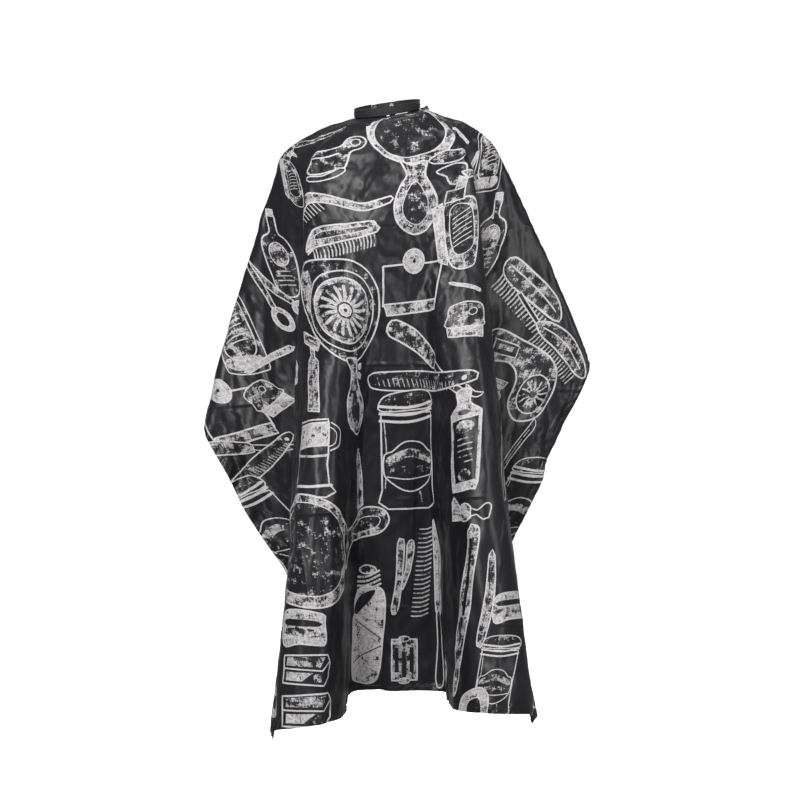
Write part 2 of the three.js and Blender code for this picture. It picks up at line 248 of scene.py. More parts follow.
def settle(points):
    """The grid of points after a cloth simulation that keeps near the drape it starts from."""
    rows, cols = grid_r.shape
    cloth = mesh_object("settling", points.reshape(-1, 3), grid_faces(rows, cols))
    cloth.shape_key_add(name="Basis")
    rest = cloth.shape_key_add(name="rest")
    rest.data.foreach_set("co", flat_cone().astype(np.float32).ravel())
    pins = cloth.vertex_groups.new(name="pins")
    length = grid_r - NOTCH_RADIUS
    loose = HOLD_FAR + HOLD_NECK * np.exp(-length / HOLD_REACH)
    hold = np.where(np.arange(rows)[:, None] < 2, 1.0, loose)
    for n, weight in enumerate(hold.ravel()):
        pins.add([n], float(weight), "REPLACE")
    body = torso()
    modifier = cloth.modifiers.new("Cloth", "CLOTH")
    for name, value in FABRIC.items():
        setattr(modifier.settings, name, value)
    modifier.settings.vertex_group_mass = "pins"
    modifier.settings.rest_shape_key = rest
    modifier.collision_settings.distance_min = 0.004
    modifier.collision_settings.collision_quality = 3
    modifier.point_cache.frame_start, modifier.point_cache.frame_end = 1, SIM_FRAMES
    scene.frame_start, scene.frame_end = 1, SIM_FRAMES
    for number in range(1, SIM_FRAMES + 1):
        scene.frame_set(number)
    settled = cloth.evaluated_get(bpy.context.evaluated_depsgraph_get())
    flat = np.empty(rows * cols * 3, np.float32)
    settled.data.vertices.foreach_get("co", flat)
    for obj in (cloth, body):
        mesh = obj.data
        bpy.data.objects.remove(obj)
        bpy.data.meshes.remove(mesh)
    scene.frame_set(1)
    return flat.reshape(rows, cols, 3).astype(float)


drape = settle(start_grid)


# ---- points of the flat cut carried onto the drape ------------------------------------------
PADDED_DRAPE = np.pad(drape, ((1, 1), (1, 1), (0, 0)), mode="reflect", reflect_type="odd")


def cubic_weights(t):
    return np.stack([-t / 2 + t**2 - t**3 / 2, 1 - 2.5 * t**2 + 1.5 * t**3,
                     t / 2 + 2 * t**2 - 1.5 * t**3, (t**3 - t**2) / 2], -1)


def on_drape(u, v):
    """The settled place of flat points: u across from the centre front, v down from the back edge."""
    th, r = np.arctan2(u, v), np.hypot(u, v)
    rows, cols = grid_r.shape
    col = np.clip(np.interp(th, angles, np.arange(cols)), 0, cols - 1)
    share = (r - NOTCH_RADIUS) / (edge_distance(th) - NOTCH_RADIUS)
    row = np.clip(share, 0, 1) * ROWS
    i = np.minimum(col.astype(int), cols - 2)
    j = np.minimum(row.astype(int), rows - 2)
    across, down = cubic_weights(col - i), cubic_weights(row - j)
    places = np.zeros((len(u), 3))
    for b in range(4):
        for a in range(4):
            places += (down[:, b] * across[:, a])[:, None] * PADDED_DRAPE[j + b, i + a]
    return places


def slopes(function, u, v, step):
    """Changes of a function of the flat cut per metre, across and down."""
    across = (function(u + step, v) - function(u - step, v)) / (2 * step)
    down = (function(u, v + step) - function(u, v - step)) / (2 * step)
    return across, down


def unit(vectors):
    return vectors / np.maximum(np.linalg.norm(vectors, axis=-1, keepdims=True), 1e-12)


# ---- relief of the cloth: soft folds, packing creases, hem puckers, neck gathers --------------
HEM_WIDTH = 0.012
HEM_RISE = 0.0005
PACKING_FOLDS_V = [0.42, 0.71, 0.985, 1.215]
PACKING_FOLDS_U = [-0.3, 0.03, 0.31]
PUCKER_RISE, PUCKER_REACH, PUCKER_PITCH = 0.0008, 0.016, 0.019
GATHER_RISE, GATHER_REACH, GATHER_START, GATHER_PITCH = 0.0016, 0.02, 0.005, 0.011


def ripple(waves, turns_u, turns_v, height):
    """One wave over the cut: its turns per metre across and down, its phase and its height."""
    return waves.uniform(*turns_u), waves.uniform(*turns_v), waves.uniform(0, 6.3), height


def upright_ripple(waves):
    """A finer wave that runs down the cloth, leaning either way."""
    sign = waves.choice([-1, 1])
    across, down, phase, height = ripple(waves, (9, 17), (-2, 2), 0.0003)
    return sign * across, down, phase, height


random_waves = np.random.default_rng(7)
RIPPLES = [ripple(random_waves, (-5, 5), (-9, 9), 0.00022) for _ in range(9)]
RIPPLES += [upright_ripple(random_waves) for _ in range(8)]


def edge_gap(u, v):
    """Distance from the nearest cut edge, leaving out the neck."""
    return np.minimum(np.minimum(PANEL_WIDTH / 2 - np.abs(u), PANEL_LENGTH - v), v)


def uneven(s, pitch):
    """A phase that grows by a turn about every pitch, a little unevenly."""
    return s / pitch * math.tau + 1.7 * np.sin(s / pitch * 0.83 + 1) + 1.1 * np.sin(s / pitch * 0.37 + 2)


def packing_ridge(away, along, fold, height, width, waves):
    """A soft ridge left by folding, rising and sinking along its length."""
    return height * np.exp(-((away / width) ** 2)) * (0.6 + 0.4 * np.sin(along * waves + fold * 50))


def relief(u, v):
    """Height of the cloth's own relief over the settled drape, metres."""
    height = np.zeros(len(u))
    for per_u, per_v, phase, size in RIPPLES:
        height += size * np.sin(math.tau * (per_u * u + per_v * v) + phase)
    for fold in PACKING_FOLDS_V:
        sway = fold + 0.006 * np.sin(u * 9 + fold * 40)
        height += packing_ridge(v - sway, u, fold, 0.0011, 0.022, 14)
    for fold in PACKING_FOLDS_U:
        sway = fold + 0.004 * np.sin(v * 7 + fold * 30)
        height += packing_ridge(u - sway, v, fold, 0.0009, 0.02, 12)
    gap = edge_gap(u, v)
    near_hem = np.exp(-np.maximum(gap, 0) / PUCKER_REACH)
    height += PUCKER_RISE * near_hem * np.sin(uneven(u + v, PUCKER_PITCH))
    height += HEM_RISE * (1 - np.clip((gap - HEM_WIDTH) / 0.002 + 0.5, 0, 1))
    length = np.maximum(np.hypot(u, v) - NOTCH_RADIUS, 0)
    near_neck = np.exp(-length / GATHER_REACH) * (1 - np.exp(-length / GATHER_START))
    gathers = np.abs(np.sin(uneven(np.arctan2(u, v) * NOTCH_RADIUS, GATHER_PITCH) / 2)) - 0.6
    return height + GATHER_RISE * near_neck * gathers


def cape_surface(u, v, lift=0.0):
    """Places and normals of the cloth at flat points, raised by lift metres."""
    across, down = slopes(on_drape, u, v, 0.003)
    normal = unit(np.cross(down, across))
    rise_u, rise_v = slopes(relief, u, v, 0.0008)
    tilt = across * (rise_u / np.maximum((across**2).sum(1), 0.05))[:, None]
    tilt += down * (rise_v / np.maximum((down**2).sum(1), 0.05))[:, None]
    return on_drape(u, v) + normal * (relief(u, v) + lift)[:, None], unit(normal - tilt)


# ---- drawing: outlines with a tone, millimetres on the flat cut, y down ------------------------
# Tone 1 is a printed line and 0 is bare satin; between them the print is scratched shading.
LINE, FULL, SHADED, MID, FAINT, BARE = 1.0, 0.78, 0.58, 0.44, 0.28, 0.0
PEN = 4.0
PEN_SHARE = 0.7


def path(points, smooth=True, closed=True, step=7.0):
    """Points about a step apart on a line through the given ones."""
    p = np.array(points, float)
    n = len(p)
    pieces = []
    for i in range(n if closed else n - 1):
        b, c = p[i], p[(i + 1) % n]
        a = p[i - 1] if closed or i else b
        d = p[(i + 2) % n] if closed or i < n - 2 else c
        count = max(1, round(np.linalg.norm(c - b) / step))
        t = np.arange(count)[:, None] / count
        if smooth:
            weights = cubic_weights(t[:, 0])
            pieces.append(weights @ np.stack([a, b, c, d]))
        else:
            pieces.append(b + (c - b) * t)
    if not closed:
        pieces.append(p[-1:])
    return np.concatenate(pieces)


def grown(outline, by):
    """A closed outline moved outwards."""
    along = np.roll(outline, -1, 0) - np.roll(outline, 1, 0)
    x, y = outline.T
    turn = np.sign((x * np.roll(y, -1) - np.roll(x, -1) * y).sum())
    side = unit(np.stack([along[:, 1], -along[:, 0]], 1))
    return outline + turn * by * side


def drawn(points, inside=BARE, pen=PEN, smooth=True, step=7.0):
    """A closed shape: its printed line and what is inside it."""
    middle = path(points, smooth, True, step)
    reach = pen * PEN_SHARE / 2
    return [(grown(middle, reach), LINE), (grown(middle, -reach), inside)]


def filled(points, tone, smooth=True, step=7.0):
    return [(path(points, smooth, True, step), tone)]


def pen_line(points, pen=PEN, tone=LINE, smooth=True, step=7.0):
    """An open line drawn with a pen of that width."""
    middle = path(points, smooth, False, step)
    along = unit(np.gradient(middle, axis=0))
    side = np.stack([along[:, 1], -along[:, 0]], 1) * pen * PEN_SHARE / 2
    tip = along[-1:] * pen / 3
    return [(np.concatenate([middle + side, middle[-1:] + tip, (middle - side)[::-1]]), tone)]


def oval(x, y, rx, ry=None, turn=0.0):
    """Corner points of an ellipse, for drawn and filled."""
    ry = rx if ry is None else ry
    count = 8 if max(rx, ry) < 30 else 14
    a = np.arange(count) / count * math.tau
    return moved(np.stack([rx * np.cos(a), ry * np.sin(a)], 1), x, y, turn)


def oblong(x, y, width, height, turn=0.0):
    w, h = width / 2, height / 2
    return moved(np.array([(-w, -h), (w, -h), (w, h), (-w, h)], float), x, y, turn)


def moved(points, x, y, turn=0.0, size=1.0):
    c, s = math.cos(math.radians(turn)) * size, math.sin(math.radians(turn)) * size
    return np.asarray(points, float) @ np.array([(c, s), (-s, c)]) + (x, y)


def strokes(start, step, reach, count, pen=2.6, tone=LINE, bend=0.0):
    """A row of short strokes, such as bristles or the teeth of a comb."""
    row = []
    for k in range(count):
        x, y = start[0] + step[0] * k, start[1] + step[1] * k
        tip = (x + reach[0], y + reach[1])
        middle = ((x + tip[0]) / 2 + bend * reach[1], (y + tip[1]) / 2 - bend * reach[0])
        row += pen_line([(x, y), middle, tip], pen, tone)
    return row


def hatching(x, y, width, height, count, pen=2.6, lean=0.0, tone=LINE):
    """Level lines across a rectangle, standing in for shading."""
    lines = []
    for k in range(count):
        row = y - height / 2 + height * (k + 0.5) / count
        ends = (x - width / 2, row + lean), (x + width / 2, row - lean)
        lines += pen_line([ends[0], (x, row - lean / 3), ends[1]], pen, tone)
    return lines


# ---- the motifs: plain grooming tools and toiletries, each about its own middle ---------------
def hand_mirror():
    """Round glass in a double rim, waisted neck, long oval grip."""
    parts = drawn([(-52, -190), (0, -212), (62, -196), (88, -150), (70, -92), (30, -62), (-20, -66),
                   (-62, -100), (-74, -150)], SHADED, 5)
    parts += drawn(oval(2, -138, 66, 64), BARE, 3.5)
    parts += filled(oval(2, -138, 56, 54), FAINT)
    parts += drawn([(-14, -66), (6, -56), (30, -64), (28, -34), (44, -2), (54, 36), (38, 74), (6, 82),
                    (-24, 60), (-32, 22), (-18, -16), (-4, -36)], SHADED, 5)
    parts += drawn([(10, -22), (32, 8), (36, 40), (18, 62), (-6, 52), (-14, 20)], FAINT, 2.4)
    return parts


def razor_on_strut():
    """A blade block on a slanted holder."""
    parts = drawn([(-34, -52), (-12, -56), (2, -12), (-12, 6), (-30, -16)], FULL, 4, smooth=False)
    parts += drawn([(-4, -14), (8, -20), (54, 14), (42, 28), (0, 8)], FULL, 4, smooth=False)
    parts += filled([(-28, -44), (-24, -46), (-14, -6), (-18, -4)], BARE, smooth=False)
    return parts


def ringed_clamp():
    """A pleated cup with a ring grip and a curled foot."""
    parts = drawn([(-52, -24), (-20, -34), (12, -44), (22, -66), (44, -72), (58, -54), (48, -36), (30, -28),
                   (20, 6), (10, 16), (-54, 34), (-48, 0)], MID, 5)
    parts += drawn(oval(38, -54, 9), BARE, 4)
    parts += filled([(-42, -16), (-10, -24), (4, -20), (2, 6), (-24, 18), (-44, 20)], FAINT)
    parts += drawn([(-60, 42), (-20, 32), (10, 14), (18, 22), (-14, 42), (-56, 52)], BARE, 4)
    parts += pen_line([(-48, -8), (-16, -14), (8, -26)], 5)
    return parts


def bowed_bottle():
    """A tall scent bottle seen from its edge, with a stopper and a ribbon bow."""
    parts = drawn([(-42, -58), (-22, -66), (-16, 76), (-34, 62)], FULL, 4, smooth=False)
    parts += drawn([(-18, -60), (30, -54), (44, -10), (40, 64), (26, 96), (-12, 72)], MID, 4)
    parts += drawn([(-8, -46), (24, -42), (34, -6), (30, 52), (-4, 54)], FAINT, 2.6)
    parts += hatching(12, 4, 34, 74, 7, 2.6, lean=6)
    parts += drawn([(-34, -160), (-6, -172), (30, -156), (18, -144), (-20, -148)], MID, 4)
    parts += drawn([(-28, -132), (4, -140), (22, -126), (14, -98), (-10, -102), (-14, -118)], FAINT, 4)
    parts += drawn([(12, -118), (40, -104), (50, -92), (24, -96)], SHADED, 4, smooth=False)
    parts += drawn([(8, -112), (-2, -84), (14, -72), (22, -96)], SHADED, 4, smooth=False)
    parts += drawn(oblong(0, -74, 34, 24, 8), MID, 4, smooth=False)
    return parts


def tail_comb():
    """A curved comb with a thin tail and a short row of teeth."""
    parts = drawn([(104, -56), (60, -40), (8, -46), (-40, -36), (-78, 0), (-92, 54), (-82, 64), (-66, 30),
                   (-52, -2), (-30, -22), (10, -30), (62, -26), (104, -44)], SHADED, 4.4)
    parts += strokes((-62, 8), (7, -6), (16, 12), 7, 3)
    parts += pen_line([(-74, 44), (-64, 14), (-48, -10)], 3, tone=FULL)
    return parts


def clothes_brush(length=158):
    """An arched back over a row of bristles."""
    w = length / 2
    parts = drawn([(-w, 16), (-w + 24, -12), (-w / 3, -26), (w - 14, -26), (w, -14), (w - 2, 0), (0, 6),
                   (-w + 24, 12)], SHADED, 4.6)
    parts += drawn([(-w + 34, -4), (-w / 3, -17), (w - 18, -17), (w - 14, -10), (0, -6)], FAINT, 2.4)
    parts += strokes((-w + 22, 12), ((2 * w - 30) / 17, -0.5), (-4, 24), 18, 4, tone=FULL, bend=0.08)
    parts += pen_line([(-w + 4, 22), (-w + 26, 12)], 5)
    return parts


def framed_rosette():
    """A wire frame with a rosette on its top bar and a broad engraved bar below."""
    parts = []
    bars = [(-62, -38), (-60, 40)], [(62, -46), (60, 34)], [(-62, -38), (-20, -42)], [(20, -44), (62, -46)]
    for line in bars:
        parts += pen_line(line, 5, smooth=False)
    parts += drawn([(-58, 36), (58, 26), (60, 46), (-52, 58)], SHADED, 4.4, smooth=False)
    parts += drawn(oval(0, -48, 24), FULL, 3.4)
    parts += drawn(oval(0, -48, 14), FULL, 3)
    parts += filled(oval(0, -48, 4), BARE)
    return parts


def petals(x, y, inner, outer, count, pen=7.0, tone=FULL):
    parts = []
    for k in range(count):
        a = k / count * math.tau
        dx, dy = math.cos(a), math.sin(a)
        start, tip = (x + inner * dx, y + inner * dy), (x + outer * dx, y + outer * dy)
        bow = ((start[0] + tip[0]) / 2 - dy * 2, (start[1] + tip[1]) / 2 + dx * 2)
        parts += pen_line([start, bow, tip], pen, tone)
    return parts


def rosette_mirror():
    """The back of a round mirror: rings round a rosette, a tied neck and an oval grip."""
    parts = drawn([(-84, -96), (-30, -110), (34, -104), (76, -66), (86, -10), (70, 46), (22, 82), (-26, 78),
                   (-62, 44), (-86, -2), (-98, -40)], FAINT, 4.6)
    parts += filled([(-90, -80), (-66, -92), (-58, -52), (-78, -12), (-94, -40)], SHADED)
    parts += drawn(oval(0, -12, 74, 76), FAINT, 4)
    parts += drawn(oval(0, -12, 60, 62), SHADED, 4)
    parts += filled(oval(0, -12, 51, 53), FAINT)
    parts += petals(0, -12, 16, 47, 17, 9)
    parts += drawn(oval(0, -12, 12), FULL, 3)
    parts += filled(oval(0, -12, 3.5), BARE)
    parts += drawn([(-14, 78), (18, 80), (15, 100), (22, 128), (40, 162), (42, 198), (14, 222), (-18, 202),
                    (-24, 166), (-8, 128), (-4, 100)], SHADED, 5)
    parts += filled([(8, 136), (24, 168), (24, 196), (8, 206), (-6, 190), (-4, 160)], FAINT)
    parts += drawn([(22, 92), (34, 88), (32, 98), (22, 100)], FULL, 3)
    parts += drawn([(20, 104), (34, 110), (30, 118), (20, 112)], FULL, 3)
    return parts


def safety_razor():
    """A short head across a ribbed handle."""
    parts = drawn([(-46, -86), (10, -70), (2, -46), (-44, -62)], SHADED, 4.4, smooth=False)
    parts += pen_line([(-38, -70), (0, -58)], 3, tone=BARE)
    parts += drawn([(-24, -52), (-8, -48), (-6, -32), (4, -22), (6, 90), (-24, 90), (-28, -22), (-20, -34)],
                   SHADED, 4.4, smooth=False)
    parts += pen_line([(-14, -20), (-12, 78)], 2.6, tone=FAINT)
    parts += pen_line([(-22, 84), (4, 82)], 3)
    return parts


def nail_block():
    """A domed stippled block on a pale band."""
    parts = drawn([(-38, -18), (-34, -40), (0, -44), (34, -30), (40, 2), (38, 14), (-40, 4)], MID, 4)
    parts += drawn([(-40, 6), (38, 16), (38, 40), (-36, 26)], FULL, 4, smooth=False)
    parts += drawn(oval(12, -20, 8), FAINT, 3)
    return parts


def straight_razor():
    """A folded-out blade over its pinned scales."""
    parts = drawn([(-112, -70), (-96, -84), (-40, -54), (6, -14), (0, 4), (-12, 4), (-80, -38), (-108, -54)],
                  MID, 4.4)
    parts += pen_line([(4, -10), (44, 22), (98, 62)], 4)
    parts += pen_line([(-2, 2), (34, 34), (70, 56), (92, 66)], 3.4)
    parts += drawn([(-138, 18), (-60, 14), (40, 16), (96, 20), (104, 30), (92, 40), (0, 50), (-120, 50),
                    (-146, 36)], FAINT, 4)
    parts += strokes((-128, 26), (9, 0.4), (5, 16), 22, 2.2, tone=FULL)
    parts += filled(oval(82, 31, 5), LINE)
    parts += drawn([(88, 44), (106, 58), (120, 60), (112, 68), (98, 64)], BARE, 3)
    return parts


def screw_jar(small=False):
    """A tall jar under a threaded lid, with a blank shield label."""
    pen = 6 if small else 4.6
    parts = drawn([(-56, -74), (58, -78), (57, 84), (62, 112), (40, 124), (-44, 124), (-62, 110), (-55, 84)],
                  BARE, pen, smooth=False)
    parts += pen_line([(-50, -60), (-46, 10), (-49, 80)], 3, tone=FULL)
    parts += drawn([(-58, -100), (-40, -116), (20, -124), (56, -116), (60, -90), (0, -82),
                    (-56, -82)], FAINT, 4)
    for k in range(3):
        row = -92 + 15 * k
        parts += pen_line([(-60, row), (0, row + 4), (60, row - 8)], 8)
    parts += drawn([(-50, 10), (-36, 4), (-10, -16), (22, -14), (42, 2), (54, 8), (54, 42), (44, 64),
                    (14, 86), (-14, 84), (-44, 62), (-52, 44)], BARE, 4)
    parts += filled([(-44, 16), (0, -2), (48, 14), (48, 30), (0, 16), (-44, 34)], SHADED)
    parts += filled([(-44, 40), (0, 34), (48, 38), (46, 46), (0, 50), (-44, 52)], FAINT)
    parts += pen_line([(-46, 56), (0, 62), (48, 54)], 3.4)
    parts += pen_line([(20, 88), (24, 110)], 5, tone=SHADED)
    return parts


def slim_bottle():
    """A flat-sided bottle with a blank panel and a short neck."""
    parts = drawn([(-13, -104), (14, -104), (13, -76), (32, -58), (34, -40), (28, 92), (14, 102), (-26, 100),
                   (-35, 86), (-32, -44), (-30, -60), (-12, -76)], FULL, 4)
    parts += filled([(-28, -44), (29, -44), (24, 84), (-26, 84)], BARE, smooth=False)
    parts += filled(oval(0, -28, 21, 13), SHADED)
    parts += filled(oval(0, -58, 12, 6), BARE)
    parts += hatching(0, 20, 34, 60, 5, 4, tone=SHADED)
    parts += filled(oval(-2, 70, 16, 12), MID)
    parts += pen_line([(-32, -46), (33, -46)], 3)
    return parts


def shaving_mug():
    """A banded mug with a looped handle and a spreading foot."""
    parts = drawn([(-46, -66), (34, -84), (36, -14), (34, 10), (40, 50), (56, 62), (34, 78), (-50, 90),
                   (-44, 10)], BARE, 4.6, smooth=False)
    parts += drawn([(-46, -58), (36, -78), (36, -30), (-46, -10)], FULL, 4.4, smooth=False)
    for x, y in ((-26, -38), (2, -44), (26, -50)):
        parts += drawn(oval(x, y, 7), FULL, 3)
        parts += filled(oval(x, y, 2.4), BARE)
    parts += pen_line([(40, -78), (62, -66), (60, -36), (40, -20)], 4)
    parts += pen_line([(38, -68), (51, -60), (50, -38), (38, -28)], 3)
    parts += pen_line([(-46, 2), (0, 0), (36, -10)], 7, tone=FULL)
    parts += pen_line([(-48, 66), (0, 62), (46, 50)], 8)
    return parts


def tube():
    """A capped pencil tube."""
    parts = drawn([(-14, -46), (-8, -58), (6, -56), (12, -44), (16, 0), (14, 62), (-8, 68),
                   (-10, 0)], SHADED, 4.4,
                  smooth=False)
    parts += drawn(oblong(-2, -62, 9, 10), FULL, 3, smooth=False)
    parts += pen_line([(-10, 2), (16, -2)], 4)
    parts += pen_line([(3, 10), (3, 58)], 4, tone=BARE)
    return parts


def shaving_brush():
    """A fanned knot in a turned handle, lying on its side."""
    parts = drawn([(-44, -28), (-38, -38), (-16, -14), (-14, 12), (-44, 10)], FULL, 4, smooth=False)
    parts += drawn([(-16, -14), (-4, -20), (10, -12), (12, 10), (0, 16), (-14, 12)], SHADED, 4)
    parts += drawn([(12, -8), (24, -2), (40, -14), (50, -8), (46, 16), (36, 18), (22, 6), (12, 8)], BARE, 4)
    parts += strokes((-38, -26), (2, 8), (16, 4), 4, 2, tone=MID)
    return parts


def lying_mirror():
    """A large hand mirror on its side."""
    parts = drawn([(-168, 70), (-150, -40), (-80, -80), (0, -68), (54, -20), (66, 30), (40, 100), (-30, 140),
                   (-120, 130)], SHADED, 5)
    parts += drawn([(-160, 66), (-142, -28), (-80, -64), (-6, -54), (38, -10), (46, 36), (24, 84), (-34, 118),
                    (-114, 110)], FAINT, 3.4)
    parts += drawn([(46, -26), (78, -12), (118, -26), (164, -56), (204, -58), (220, -36), (206, -8), (160, 8),
                    (112, 14), (84, 34), (66, 64)], MID, 4.6)
    parts += drawn([(110, -8), (160, -34), (200, -40), (196, -18), (150, -2)], FAINT, 2.4)
    return parts


def tweezers():
    """Two long springy legs joined at the foot."""
    parts = drawn([(-12, -74), (-4, -82), (2, -70), (-2, 20), (-8, 72), (-16, 84), (-22, 74),
                   (-14, 10)], SHADED, 4)
    parts += drawn([(8, -70), (16, -80), (22, -66), (14, -10), (0, 30), (-2, 20), (6, -20)], SHADED, 4)
    parts += pen_line([(-14, 52), (-10, 80)], 3, tone=BARE)
    return parts


def hair_brush():
    """A long brush on edge: bristles to the left, a tapering handle down."""
    parts = drawn([(0, -158), (16, -130), (28, -96), (32, -40), (26, 12), (14, 22), (4, 12),
                   (2, -60)], FULL, 4.4)
    parts += strokes((0, -148), (-0.7, 8.6), (-30, 6), 20, 3.6, tone=FULL, bend=0.1)
    parts += drawn([(6, 16), (20, 14), (20, 70), (24, 140), (14, 156), (4, 142), (8, 70)], BARE, 4)
    parts += pen_line([(16, -110), (18, -40), (16, 0)], 3, tone=FAINT)
    return parts


def long_comb():
    """A long tapering comb case."""
    parts = drawn([(2, -160), (16, -170), (26, -150), (20, -60), (14, 20), (-4, 110), (-16, 172), (-24, 150),
                   (-20, 40), (-6, -60)], SHADED, 4.4)
    parts += filled([(8, -140), (14, -140), (10, -50), (4, 10), (-2, 10), (2, -60)], BARE)
    parts += filled([(-8, 10), (2, 12), (-8, 70), (-14, 70)], FAINT)
    return parts


def nail_file():
    parts = drawn([(14, -88), (24, -84), (16, 0), (-10, 84), (-22, 90), (-22, 70), (0, -10)], SHADED, 3.6)
    parts += pen_line([(14, -70), (6, -10), (-12, 60)], 2.6, tone=FAINT)
    return parts


def banded_bottle():
    """A tall bottle with a ribbed cap and a slanted blank band."""
    parts = drawn([(-30, -64), (24, -76), (40, -52), (38, 20), (26, 116), (-24, 118), (-38, 96), (-34, 0)],
                  FULL, 4)
    parts += filled([(-30, -46), (20, -70), (4, -40), (-30, -18)], BARE)
    parts += drawn([(-38, -16), (-30, -22), (36, 22), (34, 40), (-34, 88), (-36, 40)], FULL, 4, smooth=False)
    parts += pen_line([(-30, -12), (34, 30)], 3, tone=BARE)
    parts += pen_line([(-32, 80), (34, 46)], 3, tone=BARE)
    for k in range(4):
        row = -104 + 9 * k
        parts += pen_line([(-24 - k, row + 6), (2, row + 8), (28 + k, row - 6)], 6, tone=FULL)
    parts += drawn([(-18, -112), (0, -120), (20, -116), (24, -108), (0, -102)], MID, 3.4)
    return parts


def blade_pack():
    parts = drawn(oblong(0, 0, 50, 86), SHADED, 4.4, smooth=False)
    parts += filled(oblong(0, 0, 8, 80), FAINT, smooth=False)
    parts += drawn(oval(0, -44, 12, 6), SHADED, 3)
    parts += drawn(oval(0, 44, 12, 6), SHADED, 3)
    parts += filled(oblong(-15, 0, 8, 52), BARE, smooth=False)
    parts += filled(oblong(15, 0, 8, 52), BARE, smooth=False)
    return parts


def open_box():
    """A shallow box drawn from above its corner."""
    parts = drawn([(-50, -22), (44, -34), (52, -20), (50, 8), (36, 26), (-52, 30)], BARE, 4.4, smooth=False)
    parts += filled([(-42, -20), (38, -29), (28, -8), (-44, -4)], SHADED, smooth=False)
    parts += pen_line([(-50, 2), (32, -2), (50, -22)], 4, smooth=False)
    parts += filled([(-44, 8), (14, 4), (-10, 22), (-44, 24)], FULL, smooth=False)
    parts += filled([(18, 6), (30, 4), (30, 20), (4, 22)], MID, smooth=False)
    return parts


def soap_block():
    parts = drawn([(-46, -28), (40, -34), (46, -16), (48, 24), (30, 30), (-10, 32), (-48, 38)], FULL, 4.4)
    parts += filled([(-40, -14), (30, -18), (34, -8), (-40, -2)], BARE)
    parts += filled([(-40, 4), (36, 0), (36, 14), (-40, 16)], SHADED)
    return parts


def scissors():
    """Open shears: long blades up, two finger rings down."""
    parts = drawn([(-58, -96), (-48, -98), (10, 4), (44, 52), (36, 58), (-4, 12)], MID, 3.8, smooth=False)
    parts += drawn([(-34, -96), (-28, -88), (-2, 0), (6, 62), (-4, 62), (-14, 4)], MID, 3.8, smooth=False)
    parts += drawn(oval(52, 72, 20, 17, 40), FULL, 4)
    parts += drawn(oval(52, 72, 13, 10, 40), BARE, 3)
    parts += drawn(oval(4, 84, 17, 23), FULL, 4)
    parts += drawn(oval(4, 84, 10, 15), BARE, 3)
    parts += pen_line([(66, 86), (78, 96), (84, 86)], 4)
    return parts


def round_bottle():
    """A shouldered bottle with an oval blank label."""
    parts = drawn([(-9, -84), (9, -84), (9, -50), (28, -34), (34, -4), (24, 56), (10, 82), (-12, 82),
                   (-26, 54), (-34, -6), (-28, -34), (-8, -50)], FAINT, 4.4)
    parts += drawn(oval(0, -4, 21, 25), SHADED, 3)
    parts += hatching(0, 46, 30, 38, 4, 3.4, lean=2, tone=FULL)
    parts += drawn(oblong(0, -88, 18, 14), FULL, 3, smooth=False)
    return parts


def label_flask():
    """A square flask whose shaded panel stands proud of a pale base."""
    parts = drawn([(-44, -74), (0, -90), (44, -66), (46, 60), (30, 82), (-36, 84), (-48, 60)], FAINT, 3.6)
    parts += drawn([(-36, -62), (0, -76), (34, -56), (30, 40), (-34, 46)], MID, 4)
    parts += hatching(-2, -10, 50, 74, 7, 3.2, lean=8)
    parts += filled([(-42, 54), (34, 48), (26, 74), (-34, 76)], FULL)
    return parts


def dryer():
    """A round-backed hand tool with a broad curved arm."""
    parts = drawn([(-104, -92), (-52, -70), (10, -30), (44, 14), (50, 66), (30, 112), (-14, 116), (-38, 76),
                   (-34, 22), (-56, -14), (-104, -34)], MID, 4.6)
    parts += drawn([(-94, -72), (-40, -46), (-46, -22), (-96, -44)], BARE, 3.4, smooth=False)
    parts += filled([(-84, -60), (-52, -45), (-55, -36), (-86, -50)], SHADED, smooth=False)
    parts += drawn(oval(8, 62, 32, 42), FAINT, 3.4)
    parts += petals(8, 62, 8, 28, 12, 5)
    return parts


def curved_grip():
    """A doubled wire grip under a small bow."""
    parts = drawn([(12, -76), (22, -56), (4, -10), (-14, 46), (-22, 78), (-34, 74), (-24, 20),
                   (-4, -40)], BARE, 4)
    parts += pen_line([(6, -44), (-12, 10), (-24, 60)], 3, tone=FULL)
    return parts


def powder_puff():
    parts = drawn([(-24, 22), (-22, -18), (14, -34), (32, -14), (24, 30), (4, 36)], FULL, 4)
    parts += drawn([(-12, 10), (-8, -10), (12, -16), (18, 0), (12, 20)], BARE, 3)
    return parts


def quill():
    """A long thin pointed stick."""
    return drawn([(-46, 26), (-40, 18), (40, -26), (48, -24), (44, -18), (-38, 26)], FULL, 3, smooth=False)


def fan_comb():
    """A leaf-shaped comb with teeth along one side."""
    parts = drawn([(-78, -20), (-66, -40), (0, -22), (54, -2), (78, 26), (66, 34), (0, 16),
                   (-60, -2)], MID, 4.4)
    parts += pen_line([(-64, -26), (0, -6), (62, 20)], 3.4)
    parts += strokes((-72, -8), (8.2, 2.9), (-7, 26), 17, 4.4, tone=FULL, bend=0.06)
    return parts


def handled_brush():
    """An oval brush at the end of a thin handle."""
    parts = drawn([(-128, -58), (-122, -64), (-52, -18), (-56, -12)], BARE, 3.6, smooth=False)
    parts += drawn([(-54, -14), (-20, -20), (40, -4), (92, 34), (112, 64), (92, 66), (24, 32),
                    (-30, 8)], MID, 4.4)
    parts += pen_line([(-36, -8), (30, 12), (92, 52)], 3.4)
    parts += strokes((-40, 6), (8, 3.9), (-8, 20), 17, 4, tone=FULL, bend=0.05)
    return parts


